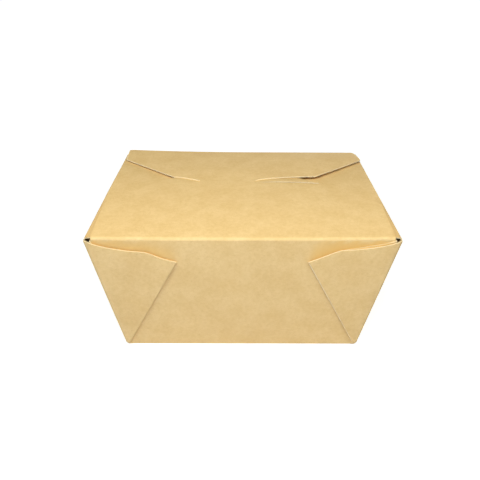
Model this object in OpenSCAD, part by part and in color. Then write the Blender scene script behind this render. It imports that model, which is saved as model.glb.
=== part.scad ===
// Folded board meal box: one die-cut blank whose four walls lean outwards, with a web corner
// tucked flat against the outside of the wall at each end of the front and the rear.
// Two end flaps fold in first, the front flap covers them, and the rear flap closes on top
// with a tongue that drops through a cut in the front flap.
// Millimetres. Origin at the middle of the underside, +X to the right, +Y to the rear.

/* [Board] */
// Thickness of the board
board = 0.5; // [0.35:0.05:0.6]
// Outer radius of the fold round the lid
lid_fold_r = 1.1; // [0.9:0.1:1.5]
// Outer radius of the fold under the front and rear walls
wall_fold_r = 0.8; // [0.7:0.1:1.2]
// Outer radius of the fold under the end walls
end_fold_r = 2.0; // [1.2:0.1:2.1]

/* [Base and walls] */
// Length of the base between its end creases
base_l = 110.6; // [100:0.5:125]
// Depth of the base between its front and rear creases
base_d = 82.9; // [74:0.1:95]
// Height of the front flap's top face above the underside
wall_h = 64; // [60:0.5:72]
// How far each end wall leans out at the rim
end_lean = 11.3; // [7:0.1:12]
// How far the front and the rear wall lean out at the rim
wall_lean = 8.9; // [7:0.1:12]

/* [Web corners] */
// Height at which the pleat of a web corner starts
pleat_h = 2.2; // [2.1:0.1:3]
// Width of the pleat where it starts
pleat_w = 1.2; // [1.2:0.1:2]
// Air between two layers of the pleat where it starts
pleat_gap = 0.12; // [0.1:0.01:0.2]
// Air between two layers of the pleat at the rim
rim_gap = 0.2; // [0.15:0.05:0.5]
// Lean of the diagonal crease from upright
crease_lean = 27.2; // [24:0.2:30]
// Length of the diagonal crease
crease_l = 56; // [50:0.5:57]
// Rise of the straight cut at the tip of the web
tip_rise = 5.8; // [4.5:0.1:6]
// Run of the straight cut at the tip of the web
tip_run = 13.6; // [10:0.1:16]
// How much higher the web's inner layer is cut
inner_rise = 0.6; // [0.3:0.1:0.8]
// Radius of the corner between web and end wall, at the rim
corner_r = 2.2; // [1.6:0.1:2.4]
// Opening left between the front wall's edge and the end wall, at the rim
corner_gap = 2.4; // [1.6:0.1:2.8]

/* [Lid flaps] */
// Height of the rear flap's top face above the front flap's
rear_step = 0.2; // [0.15:0.05:0.3]
// Drop of the front flap from its fold to its free edge
front_sag = 1.0; // [0.9:0.05:1.2]
// Air between the end flaps and the front flap's fold
dust_gap = 0.7; // [0.65:0.05:0.9]
// Length of each end flap
dust_l = 42; // [34:0.5:46]
// Drop of an end flap from its fold to its free edge
dust_sag = 0.85; // [0.7:0.05:1.2]
// Narrowing of an end flap on each side
dust_taper = 11; // [6:0.5:14]
// Length of the front flap's side edges
front_side_l = 31.5; // [26:0.5:34]
// Distance from the middle to the front flap's left knee
front_knee_left = 42.8; // [39:0.1:44]
// Distance from the middle to the front flap's right knee
front_knee_right = 38.9; // [37:0.1:42]
// Length of the front flap behind the cut
hook_l = 18; // [14:0.5:22]
// Length of the rear flap's side edges
rear_side_l = 12.5; // [10:0.5:14]
// Length of the rear flap to its knees
rear_knee_l = 36.8; // [35:0.1:38]
// Distance from the rear flap's middle to each knee
rear_knee = 36.2; // [33:0.1:38]
// Shift of the rear flap to the right
rear_shift = 1.6; // [0:0.1:2]
// How far a side edge of a lid flap widens to its tip
tip_out = 2; // [1.5:0.1:3]
// Rise of the rear flap's left end behind its fold
rear_bulge = 1.4; // [0:0.1:1.6]
// Rise of the rear flap's right part off the front flap
rear_lift = 0.9; // [0:0.1:1.2]

/* [Tongue] */
// Reach of the tongue from the rear flap's hinge line
tongue_reach = 42.4; // [41:0.1:43.5]
// Skew of the tongue and its cut, per unit of length
tongue_skew = 0.045; // [0:0.005:0.06]
// Left side of the tongue from the middle
tongue_left = 21.4; // [18:0.1:24]
// Right side of the tongue from the middle
tongue_right = 6.8; // [5:0.1:12]
// Depth of the tongue below the rear flap
tongue_h = 5.6; // [4:0.1:7]
// Air on each side of the tongue in its cut
tongue_gap = 0.3; // [0.25:0.05:0.4]

/* [Hidden] */
kraft = [0.87, 0.75, 0.54];
kraft_light = [0.93, 0.80, 0.54];
hinge_gap = 0.3;
fold_steps = 4;
rim_l = base_l / 2 + end_lean;
rim_d = base_d / 2 + wall_lean;
lid_fold_m = lid_fold_r - board / 2;
wall_slope = atan(wall_lean / wall_h);
end_slope = atan(end_lean / wall_h);
hinge_y = rim_d - board / 2;
hinge_z = wall_h + rear_step;
dust_z = wall_h - board - dust_gap;
front_rim = wall_h - lid_fold_r - lid_fold_m * sin(wall_slope);
rear_rim = hinge_z - board - hinge_gap;
end_rim = dust_z - lid_fold_r - lid_fold_m * sin(end_slope);

function mix(a, b, t) = a + (b - a) * t;
function eased(t) = let (u = min(1, max(0, t))) u * u * (3 - 2 * u);
function steps(a, b, n) = [for (i = [0:n]) mix(a, b, i / n)];
function reversed(list) = [for (i = [len(list) - 1:-1:0]) list[i]];
function unit(v) = v / norm(v);

// Middle of the board's thickness in the walls, at height z
function end_x(z) = base_l / 2 - board / 2 + end_lean * z / wall_h;
function wall_y(z) = base_d / 2 - board / 2 + wall_lean * z / wall_h;

// Pleat of a web corner: the spacing of its layers and the centres of its two folds
function pitch(z) = board + mix(pleat_gap, rim_gap, z / wall_h);
function corner_radius(z) = mix(0.9, corner_r, z / wall_h);
function side_fold_x(z) = end_x(z) - pitch(z) / 2 - board - mix(pleat_gap, corner_gap, z / wall_h);
foot_crease_x = side_fold_x(pleat_h) - (pleat_w - pitch(pleat_h));
tip_x = foot_crease_x - crease_l * sin(crease_lean);
tip_z = pleat_h + crease_l * cos(crease_lean);
knee_x = tip_x + tip_run;
knee_z = tip_z + tip_rise;
corner_x = end_x(end_rim);

// Height of the web's cut edge above x: straight to the knee, then curving up to the corner
function edge_z(x) =
    x < knee_x
        ? mix(tip_z, knee_z, (x - tip_x) / tip_run)
        : let (u = (x - knee_x) / (corner_x - knee_x)) mix(knee_z, end_rim, (u + u * u) / 2);

// One column of the pleat runs straight from its foot to the cut edge, on the layer that
// lies "layer" spacings out from the wall, moved round a fold by the angle "turn"
function column(x_foot, x_top, z_top, layer, turn, f) =
    let (z = mix(pleat_h, z_top, f), r = turn == undef ? 0 : pitch(z) / 2)
    [
        mix(x_foot, x_top, f) + (turn == undef ? 0 : r * cos(turn)),
        wall_y(z) + layer * pitch(z) + (turn == undef ? 0 : r * sin(turn)),
        z
    ];

// Places of the columns across one layer of the web, from the wall's edge to the tip
web_shares = [0.2, 0.42, 0.64];

// Places of the columns across half a wall, two of them in line with the ends of the cut
flap_share = 0.996;
cut_w = front_knee_left + front_knee_right;
cut_left_share = flap_share * (2 * (front_knee_left - tongue_left - 2 * tongue_gap) / cut_w - 1);
cut_right_share = flap_share * (2 * (front_knee_left + tongue_right + 2 * tongue_gap) / cut_w - 1);
wall_shares = [cut_right_share, -cut_left_share, 0.76, flap_share];

function wall_columns(rim, f) =
    let (z = mix(pleat_h, rim, f))
    [for (k = wall_shares) [k * side_fold_x(z), wall_y(z), z]];

function side_fold(rim, f) = [
    for (i = [0:fold_steps])
        let (z_top = mix(rim, min(rim, edge_z(side_fold_x(end_rim)) + inner_rise), i / fold_steps))
        column(side_fold_x(pleat_h), side_fold_x(z_top), z_top, 0.5, mix(-90, 90, i / fold_steps), f)
];

function inner_web(f) = [
    for (k = web_shares)
        let (x_top = mix(side_fold_x(end_rim), tip_x, k))
        column(
            mix(side_fold_x(pleat_h), foot_crease_x, k), x_top, edge_z(x_top) + inner_rise, 1, undef, f
        )
];

function diagonal_fold(f) = [
    for (i = [0:fold_steps])
        column(
            foot_crease_x, tip_x, tip_z + inner_rise * (1 - i / fold_steps), 1.5,
            mix(-90, -270, i / fold_steps), f
        )
];

function outer_web(f) = [
    for (k = reversed(web_shares))
        let (
            x_top = mix(corner_x - corner_r, tip_x, k),
            x_foot = mix(end_x(pleat_h) - corner_radius(pleat_h), foot_crease_x, k)
        )
        column(x_foot, x_top, edge_z(x_top), 2, undef, f)
];

function corner_wrap(f) = [
    for (turn = steps(90, 0, fold_steps))
        let (
            z_top = min(end_rim, edge_z(corner_x - corner_r * (1 - cos(turn)))),
            z = mix(pleat_h, z_top, f),
            r = corner_radius(z)
        )
        [end_x(z) - r * (1 - cos(turn)), wall_y(z) + 2 * pitch(z) - r * (1 - sin(turn)), z]
];

// Ends of the end flap's root, as a share of the end wall's half depth
root_share = 0.985;

function end_columns(f) =
    let (z = mix(pleat_h, end_rim, f), y = wall_y(z) + 2 * pitch(z) - corner_radius(z))
    [for (k = [root_share, 0.5]) [end_x(z), k * y, z]];

// A quarter of the walls at the share f of their height, from the middle of the wall's
// length to the middle of the end wall: wall, pleat, corner, end
function quarter(rim, f) = concat(
    wall_columns(rim, f), side_fold(rim, f), inner_web(f), diagonal_fold(f), outer_web(f),
    corner_wrap(f), end_columns(f)
);

// Joins four quarters into a ring, anticlockwise from the middle of the front. Of a point's
// values the first follows x and the second and the fourth follow y.
function turned_y(p) = [p[0], -p[1], p[2], if (len(p) > 3) -p[3]];
function turned_x(p) = [-p[0], p[1], p[2], if (len(p) > 3) p[3]];
function ring(front, rear, front_mid, end_mid, rear_mid) =
    let (
        right = concat(
            [for (p = front) turned_y(p)],
            [[end_mid[0], 0, each [for (i = [1:len(end_mid) - 1]) end_mid[i]]]],
            reversed(rear)
        ),
        first = [0, -front_mid[0], front_mid[1], if (len(front_mid) > 2) -front_mid[2]],
        last = [0, rear_mid[0], rear_mid[1], if (len(rear_mid) > 2) rear_mid[2]]
    )
    concat([first], right, [last], reversed([for (p = right) turned_x(p)]));

function wall_ring(f) =
    let (zf = mix(pleat_h, front_rim, f), zr = mix(pleat_h, rear_rim, f), ze = mix(pleat_h, end_rim, f))
    ring(
        quarter(front_rim, f), quarter(rear_rim, f),
        [wall_y(zf), zf], [end_x(ze), ze], [wall_y(zr), zr]
    );

// Outward direction of a closed row of points at each point, lengthened at a bend so that
// the board keeps its thickness
function outward(row) =
    let (n = len(row))
    [
        for (i = [0:n - 1])
            let (
                p = row[(i + n - 1) % n], q = row[i], s = row[(i + 1) % n],
                a = unit([q[1] - p[1], p[0] - q[0]]),
                b = unit([s[1] - q[1], q[0] - s[0]]),
                m = unit(a + b)
            )
            m / max(0.5, m * a)
    ];

function offset_row(row, d) =
    let (m = outward(row))
    [for (i = [0:len(row) - 1]) [row[i][0] + d * m[i][0], row[i][1] + d * m[i][1], row[i][2]]];

// A sheet between two matching grids of points. Only the cells that "keep" names are
// built, and every free edge is closed by the thickness of the board.
module sheet(outer, inner, closed = false, keep = function(r, c) true) {
    rows = len(outer);
    cols = len(outer[0]);
    last = closed ? cols - 1 : cols - 2;
    has = function(r, c)
        r >= 0 && r < rows - 1 && (closed || (c >= 0 && c <= last)) && keep(r, (c + cols) % cols);
    id = function(side, r, c) side * rows * cols + r * cols + (c + cols) % cols;
    points = concat([for (row = outer) each row], [for (row = inner) each row]);
    cells = [for (r = [0:rows - 2], c = [0:last]) if (has(r, c)) [r, c]];
    faces = [
        for (cell = cells)
            let (
                r = cell[0], c = cell[1],
                a = id(0, r, c), b = id(0, r, c + 1), d = id(0, r + 1, c + 1), e = id(0, r + 1, c),
                f = id(1, r, c), g = id(1, r, c + 1), h = id(1, r + 1, c + 1), k = id(1, r + 1, c)
            )
            each concat(
                [[a, d, b], [a, e, d], [f, g, h], [f, h, k]],
                has(r - 1, c) ? [] : [[a, b, g], [a, g, f]],
                has(r + 1, c) ? [] : [[d, e, k], [d, k, h]],
                has(r, c - 1) ? [] : [[e, a, f], [e, f, k]],
                has(r, c + 1) ? [] : [[b, d, h], [b, h, g]]
            )
    ];
    polyhedron(points, faces, convexity = 10);
}

// Walls and web corners above the foot of the pleats
module walls() {
    rows = [for (f = [0, 0.35, 0.7, 1]) wall_ring(f)];
    sheet(
        [for (row = rows) offset_row(row, board / 2)],
        [for (row = rows) offset_row(row, -board / 2)],
        closed = true
    );
}

// Outermost layer of a quarter at the height where the pleat starts, as [x, y, share, plain].
// The share goes from 0 on the wall's fold to 1 on the end wall's fold, and "plain" is what y
// would be with no pleat.
function foot_quarter() =
    let (
        y = wall_y(pleat_h),
        ears = 2 * pitch(pleat_h),
        crease = diagonal_fold(0),
        turned = [for (i = [2:fold_steps]) crease[i]],
        wrap = corner_wrap(0),
        step_x = turned[0][0] - board / 2
    )
    concat(
        [for (k = wall_shares) let (x = k * side_fold_x(pleat_h)) if (x < step_x - board) [x, y, 0, y]],
        [[step_x, y, 0, y]],
        [for (p = turned) [p[0], p[1], 0, y]],
        [for (p = outer_web(0)) [p[0], p[1], 0, y]],
        [for (i = [0:fold_steps]) [wrap[i][0], wrap[i][1], i / fold_steps, wrap[i][1] - ears]],
        [for (p = end_columns(0)) [p[0], p[1], 1, p[1] * (y - corner_radius(pleat_h)) / (y + ears - corner_radius(pleat_h))]]
    );

foot_y = wall_y(pleat_h);
foot_ring = ring(
    foot_quarter(), foot_quarter(), [foot_y, 0, foot_y], [end_x(pleat_h), 1, 0], [foot_y, 0, foot_y]
);

// The foot's row at the angle "turn" round the folds under the walls: 90 lies on the base,
// where the pleat has run out
function foot_row(turn) = [
    for (p = foot_ring)
        let (
            r = mix(wall_fold_r, end_fold_r, p[2]),
            z = r - (r - board / 2) * sin(turn),
            in_x = (end_fold_r - board / 2) * (1 - cos(turn)),
            in_y = (wall_fold_r - board / 2) * (1 - cos(turn)),
            y = mix(p[3], p[1], turn == 90 ? 0 : z / pleat_h)
        )
        [p[0] * (end_x(z) - in_x) / end_x(pleat_h), y * (wall_y(z) - in_y) / foot_y, z]
];

function foot_side(turn, d) =
    let (row = foot_row(turn), m = outward(row))
    [
        for (i = [0:len(row) - 1])
            [
                row[i][0] + d * cos(turn) * m[i][0],
                row[i][1] + d * cos(turn) * m[i][1],
                row[i][2] - d * sin(turn)
            ]
    ];

foot_top = [for (p = foot_ring) [p[0], p[1], pleat_h]];
foot_turns = steps(90, 0, fold_steps);

function foot_face(d) = concat([for (a = foot_turns) foot_side(a, d)], [offset_row(foot_top, d)]);

// Folds round the base, up to the height where the pleats start
module foot() {
    sheet(foot_face(board / 2), foot_face(-board / 2), closed = true);
}

// Feet of the pleats, where the layers of each web corner are pressed together
foot_lap = 0.2;
module pleat_feet() {
    for (side = [0, 1], end = [0, 1])
        mirror([side, 0, 0]) mirror([0, end, 0])
            translate([foot_crease_x - board / 2, wall_y(pleat_h), pleat_h - foot_lap])
                cube([
                    end_x(pleat_h) - foot_crease_x - corner_radius(pleat_h) / 2,
                    2 * pitch(pleat_h), 2 * foot_lap
                ]);
}

// Flat base, up to the folds round it. Its faces are cut into strips between a point at the
// front and the one opposite at the rear, and the strip along each end wall into a fan.
module base() {
    under = foot_side(90, board / 2);
    over = foot_side(90, -board / 2);
    n = len(under);
    h = n / 2;
    w = (n - 4) / 4 - 2;
    half = concat(
        [for (i = [0:w - 2]) each [[i, i + 1, h - i - 1], [i, h - i - 1, h - i]]],
        [for (j = [w:h - w]) [w - 1, j, j + 1]]
    );
    down = concat(half, [for (t = half) [for (k = [2, 1, 0]) (n - t[k]) % n]]);
    up = [for (t = down) [for (k = [2, 1, 0]) n + t[k]]];
    side = [for (i = [0:n - 1]) let (k = (i + 1) % n) each [[i, n + i, n + k], [i, n + k, k]]];
    polyhedron(concat(under, over), concat(down, up, side), convexity = 4);
}

// A flap's path from the rim of a leaning wall: [inward, up, normal's outward part, normal's
// upward part] at the turn "a" of the fold, then "s" along the flat flap that sags by "tilt"
function fold_point(lean, a) =
    let (n = [cos(a - lean), sin(a - lean)])
    [lid_fold_m * (cos(lean) - n[0]), lid_fold_m * (n[1] + sin(lean)), n[0], n[1]];
function flap_point(lean, tilt, s) =
    let (p = fold_point(lean, 90 + lean + tilt))
    [p[0] + s * cos(tilt), p[1] - s * sin(tilt), p[2], p[3]];
function flap_turns(lean, tilt) = steps(0, 90 + lean + tilt, fold_steps + 1);

// The cut in the front flap: the middle of the tongue's thickness at x, from the hinge line
function tongue_q(x) = tongue_reach + tongue_skew * (x - (tongue_right - tongue_left) / 2);
near_lip_gap = board / 2 + tongue_gap;
far_lip_gap = near_lip_gap + board / 2;
cut_gap = 0.35;
lip_rise = 0.6;

front_fold_y = wall_y(front_rim);
front_l = front_fold_y + hinge_y - tongue_reach + hook_l;
front_tilt = atan(front_sag / front_l);
front_knee_s = front_fold_y + hinge_y - tongue_reach;
front_shares = concat(reversed([for (k = wall_shares) -k]), [0], wall_shares);
cut_column = search(cut_left_share, front_shares)[0];
front_root = flap_share * side_fold_x(front_rim);
front_end_s = [front_knee_s + hook_l * 0.5, front_l - 3, front_l - 1, front_l];
front_end_in = [0, 0, 1.4, 4];

// Half width of the front flap at the distance s from its fold, on the side of its knee
function front_half(s, knee, round_in) =
    s < front_side_l
        ? front_root + tip_out * s / front_side_l
        : mix(front_root + tip_out, knee, (s - front_side_l) / (front_knee_s - front_side_l)) - round_in;

function front_x(s, k, round_in = 0) =
    mix(
        -front_half(s, front_knee_left, round_in), front_half(s, front_knee_right, round_in),
        (k / flap_share + 1) / 2
    );

// Distance of a lip of the cut from the fold: the near lip, or the far one behind the tongue
function near_s(x) = front_fold_y + hinge_y - tongue_q(x) - near_lip_gap;
function far_s(x, k) = near_s(x) + (k < cut_right_share + 0.01 ? near_lip_gap + far_lip_gap : cut_gap);

function front_row(s, side, round_in = 0) =
    let (p = flap_point(wall_slope, front_tilt, s - lid_fold_m))
    [for (k = front_shares) [front_x(s, k, round_in), -front_fold_y + p[0] - side * p[2], front_rim + p[1] + side * p[3]]];

function lip_row(side, far) = [
    for (k = front_shares)
        let (
            x = front_x(front_knee_s, k),
            s = far ? far_s(x, k) : near_s(x),
            p = flap_point(wall_slope, front_tilt, s - lid_fold_m),
            rise = far || k < cut_left_share + 0.01 ? 0 : lip_rise * (1 - max(0, k))
        )
        [x, -front_fold_y + p[0] - side * p[2], front_rim + p[1] + side * p[3] + rise]
];

function front_rows(side) = concat(
    [[for (k = front_shares) [k * side_fold_x(front_rim), -front_fold_y - side, front_rim]]],
    [
        for (a = flap_turns(wall_slope, front_tilt))
            if (a > 0)
                let (p = fold_point(wall_slope, a))
                [
                    for (k = front_shares)
                        [k * side_fold_x(front_rim), -front_fold_y + p[0] - side * p[2], front_rim + p[1] + side * p[3]]
                ]
    ],
    [for (s = [front_side_l * 0.5, front_side_l, mix(front_side_l, front_knee_s, 0.6)]) front_row(s, side)],
    [lip_row(side, false), lip_row(side, true)],
    [for (i = [0:len(front_end_s) - 1]) front_row(front_end_s[i], side, front_end_in[i])]
);
lip_index = fold_steps + 5;

// Front lid flap with the cut that takes the tongue, open at its right end
module front_flap() {
    sheet(
        front_rows(board / 2), front_rows(-board / 2),
        keep = function(r, c) r != lip_index || c < cut_column
    );
}

dust_tilt = atan(dust_sag / dust_l);
dust_root = root_share * (wall_y(end_rim) + 2 * pitch(end_rim) - corner_radius(end_rim));
dust_s = [dust_l * 0.5, dust_l - 5, dust_l - 1.5, dust_l];
dust_in = [0, 0, 2, 6];

function dust_rows(side) = concat(
    [[for (k = [-1, -0.5 / root_share, 0, 0.5 / root_share, 1]) [end_x(end_rim) + side, k * dust_root, end_rim]]],
    [
        for (a = flap_turns(end_slope, dust_tilt))
            if (a > 0)
                let (p = fold_point(end_slope, a))
                [
                    for (k = [-1, -0.5 / root_share, 0, 0.5 / root_share, 1])
                        [end_x(end_rim) - p[0] + side * p[2], k * dust_root, end_rim + p[1] + side * p[3]]
                ]
    ],
    [
        for (i = [0:len(dust_s) - 1])
            let (p = flap_point(end_slope, dust_tilt, dust_s[i] - lid_fold_m), y = dust_root - dust_taper * dust_s[i] / dust_l - dust_in[i])
            [
                for (k = [-1, -0.5 / root_share, 0, 0.5 / root_share, 1])
                    [end_x(end_rim) - p[0] + side * p[2], k * y, end_rim + p[1] + side * p[3]]
            ]
    ]
);

// End flap on the right; the left one is its mirror image
module dust_flap() {
    sheet(dust_rows(board / 2), dust_rows(-board / 2));
}

module carton() {
    color(kraft) {
        base();
        foot();
        walls();
        pleat_feet();
        front_flap();
        dust_flap();
        mirror([1, 0, 0]) dust_flap();
    }
}

// Rear flap, laid out from its own middle: q runs forwards from the hinge line
tongue_bend = 0.75;
rear_sag = 0.15;
rear_root = side_fold_x(rear_rim);
tongue_x = [-tongue_left - rear_shift, tongue_right - rear_shift];
shoulder_drop = tongue_reach - rear_knee_l - tongue_bend;
rear_mids = [
    -rear_knee, mix(-rear_knee, tongue_x[0], 0.4), mix(-rear_knee, tongue_x[0], 0.75), tongue_x[0],
    mix(tongue_x[0], tongue_x[1], 0.5), tongue_x[1], mix(tongue_x[1], rear_knee, 0.5), rear_knee
];
first_tongue = 3;
last_tongue = 5;
rear_qs = [
    0, rear_side_l * 0.14, rear_side_l * 0.32, rear_side_l * 0.6, rear_side_l,
    mix(rear_side_l, rear_knee_l, 0.3), mix(rear_side_l, rear_knee_l, 0.65)
];

function rear_half(q) =
    q < rear_side_l
        ? rear_root + tip_out * q / rear_side_l
        : mix(rear_root + tip_out, rear_knee, (q - rear_side_l) / (rear_knee_l - rear_side_l));

// Distance from the hinge line to the front edge at x, where the board isn't part of the tongue
function shoulder_q(x) =
    x <= tongue_x[0]
        ? rear_knee_l + shoulder_drop * pow((x + rear_knee) / (rear_knee + tongue_x[0]), 2)
        : x < tongue_x[1]
            ? mix(rear_knee_l + shoulder_drop, rear_knee_l + shoulder_drop / 2, (x - tongue_x[0]) / (tongue_x[1] - tongue_x[0]))
            : mix(rear_knee_l, rear_knee_l + shoulder_drop / 2, (rear_knee - x) / (rear_knee - tongue_x[1]));

function rear_top(q) = hinge_z - board / 2 - rear_sag * q / tongue_reach;
function rear_place(x, q, z) = [x + rear_shift, hinge_y - q, z];

// Spring of the board: the left end rises behind the fold, and the right part off the front flap
function rear_rise(x, q) =
    rear_bulge * pow(max(0, tongue_x[1] - x) / (rear_root + tongue_x[1]), 2)
        * eased(q / rear_side_l * 3) * exp(-pow(q / rear_side_l, 2))
    + rear_lift * eased((x - tongue_x[1]) / (rear_knee - tongue_x[1])) * eased(q / rear_side_l);
function rear_body_row(q, side) = [
    for (m = rear_mids)
        let (x = m / rear_knee * rear_half(q)) rear_place(x, q, rear_top(q) + rear_rise(x, q) + side)
];
function rear_edge_row(side) = [
    for (m = rear_mids)
        let (q = shoulder_q(m)) rear_place(m, q, rear_top(q) + rear_rise(m, q) + side)
];
function tongue_row(i, side) = [
    for (m = rear_mids)
        let (
            reach = tongue_q(m + rear_shift),
            a = i * 90 / fold_steps,
            q = reach - tongue_bend + (tongue_bend + side) * sin(a),
            z = rear_top(reach) - tongue_bend + (tongue_bend + side) * cos(a)
        )
        rear_place(m, q, z)
];
function tongue_end_row(depth, taper, side) = [
    for (m = rear_mids)
        let (
            reach = tongue_q(m + rear_shift) + side,
            z = rear_top(reach) - depth,
            drop = (hinge_z - z),
            middle = (tongue_x[0] + tongue_x[1]) / 2
        )
        rear_place(middle + (m - middle) * taper, sqrt(reach * reach - drop * drop), z)
];

function rear_rows(side) = concat(
    [for (q = rear_qs) rear_body_row(q, side)],
    [rear_edge_row(side)],
    [for (i = [0:fold_steps]) tongue_row(i, side)],
    [tongue_end_row(tongue_h * 0.7, 1, side), tongue_end_row(tongue_h, 0.8, side)]
);

// Rear lid flap, hinged along the rear wall's rim, with the tongue that locks the lid
module rear_lid_flap() {
    color(kraft_light)
        sheet(
            rear_rows(-board / 2), rear_rows(board / 2),
            keep = function(r, c) r < len(rear_qs) || (c >= first_tongue && c < last_tongue)
        );
}

carton();
rear_lid_flap();
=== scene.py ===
"""Folded kraft board meal box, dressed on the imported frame.

The box is one die-cut blank. Its walls, web corners, front lid flap and end flaps are one welded
sheet, and the rear lid flap, with its crease and tongue, bends from the rear wall to the lid.
Each sheet is laid out on the middle of its board, in millimetres. The origin lies under the middle
of the base, with +X to the right and +Y to the rear.
"""

import logging
import math
from dataclasses import dataclass, field, replace
from enum import Enum
from typing import Callable, Optional

import bmesh
import bpy
import numpy as np
from mathutils import Matrix, Vector

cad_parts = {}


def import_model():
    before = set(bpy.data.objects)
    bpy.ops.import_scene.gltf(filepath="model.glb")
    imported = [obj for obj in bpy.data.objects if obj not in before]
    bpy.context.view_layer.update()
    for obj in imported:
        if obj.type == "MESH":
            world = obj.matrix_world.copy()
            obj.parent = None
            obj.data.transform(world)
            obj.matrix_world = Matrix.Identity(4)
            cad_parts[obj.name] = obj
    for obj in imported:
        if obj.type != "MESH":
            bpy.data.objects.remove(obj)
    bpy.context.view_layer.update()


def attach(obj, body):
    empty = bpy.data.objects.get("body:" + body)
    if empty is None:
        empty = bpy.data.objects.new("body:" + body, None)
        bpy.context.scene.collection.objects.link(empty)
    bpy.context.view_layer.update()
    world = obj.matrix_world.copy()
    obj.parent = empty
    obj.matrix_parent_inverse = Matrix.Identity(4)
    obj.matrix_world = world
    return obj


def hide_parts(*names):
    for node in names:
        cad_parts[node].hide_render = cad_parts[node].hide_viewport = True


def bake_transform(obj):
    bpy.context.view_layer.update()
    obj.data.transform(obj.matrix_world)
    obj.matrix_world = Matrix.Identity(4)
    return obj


LOG = logging.getLogger("meal_box")
MM = 0.001
NEAR = 1e-6
WELD_MM = 0.002
SHARP_ANGLE = math.radians(38)
WHITE = (1.0, 1.0, 1.0, 1.0)

Array = np.ndarray
Real = Array | float
Rgb = tuple[float, float, float]
Point = tuple[float, float, float]
Socket = bpy.types.NodeSocket


def mix(a: Real, b: Real, t: Real) -> Real:
    """Returns the value between a and b at the share t."""
    return a + (b - a) * t


def smooth(t: Real) -> Real:
    """Returns the smooth step of t, held between 0 and 1."""
    t = np.clip(t, 0.0, 1.0)
    return t * t * (3.0 - 2.0 * t)


def bell(t: Real) -> Real:
    """Returns a bell curve of t that is 1 at 0."""
    return np.exp(-np.square(t))


def move_nearest(places: Array, values: list[float]) -> Array:
    """Moves the inner place that is nearest to each value onto it.

    Args:
        places: Places along a row. Its two ends stay.
        values: Places that the row has to pass.

    Returns:
        The places in order.
    """
    moved = list(places)
    for value in values:
        nearest = min(range(1, len(moved) - 1), key=lambda i: abs(moved[i] - value))
        moved[nearest] = value
    return np.array(sorted(moved))


class BoardSide(Enum):
    """The three kinds of surface that a sheet of board shows."""

    OUTSIDE = 0
    INSIDE = 1
    CUT_EDGE = 2


class Mark(Enum):
    """Marks on a sheet's points, from 0 to 1: wear with painted highlight, and painted shade."""

    WEAR_AND_HIGHLIGHT = "crease_wear"
    WEB_SHADE = "shelter"
    SHADE = "turned_shade"


class WebLayer(Enum):
    """A web's layers and the folds between them, counted in layers out from the wall."""

    SIDE_FOLD = 0.5
    INNER = 1.0
    DIAGONAL = 1.5
    OUTER = 2.0


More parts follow.
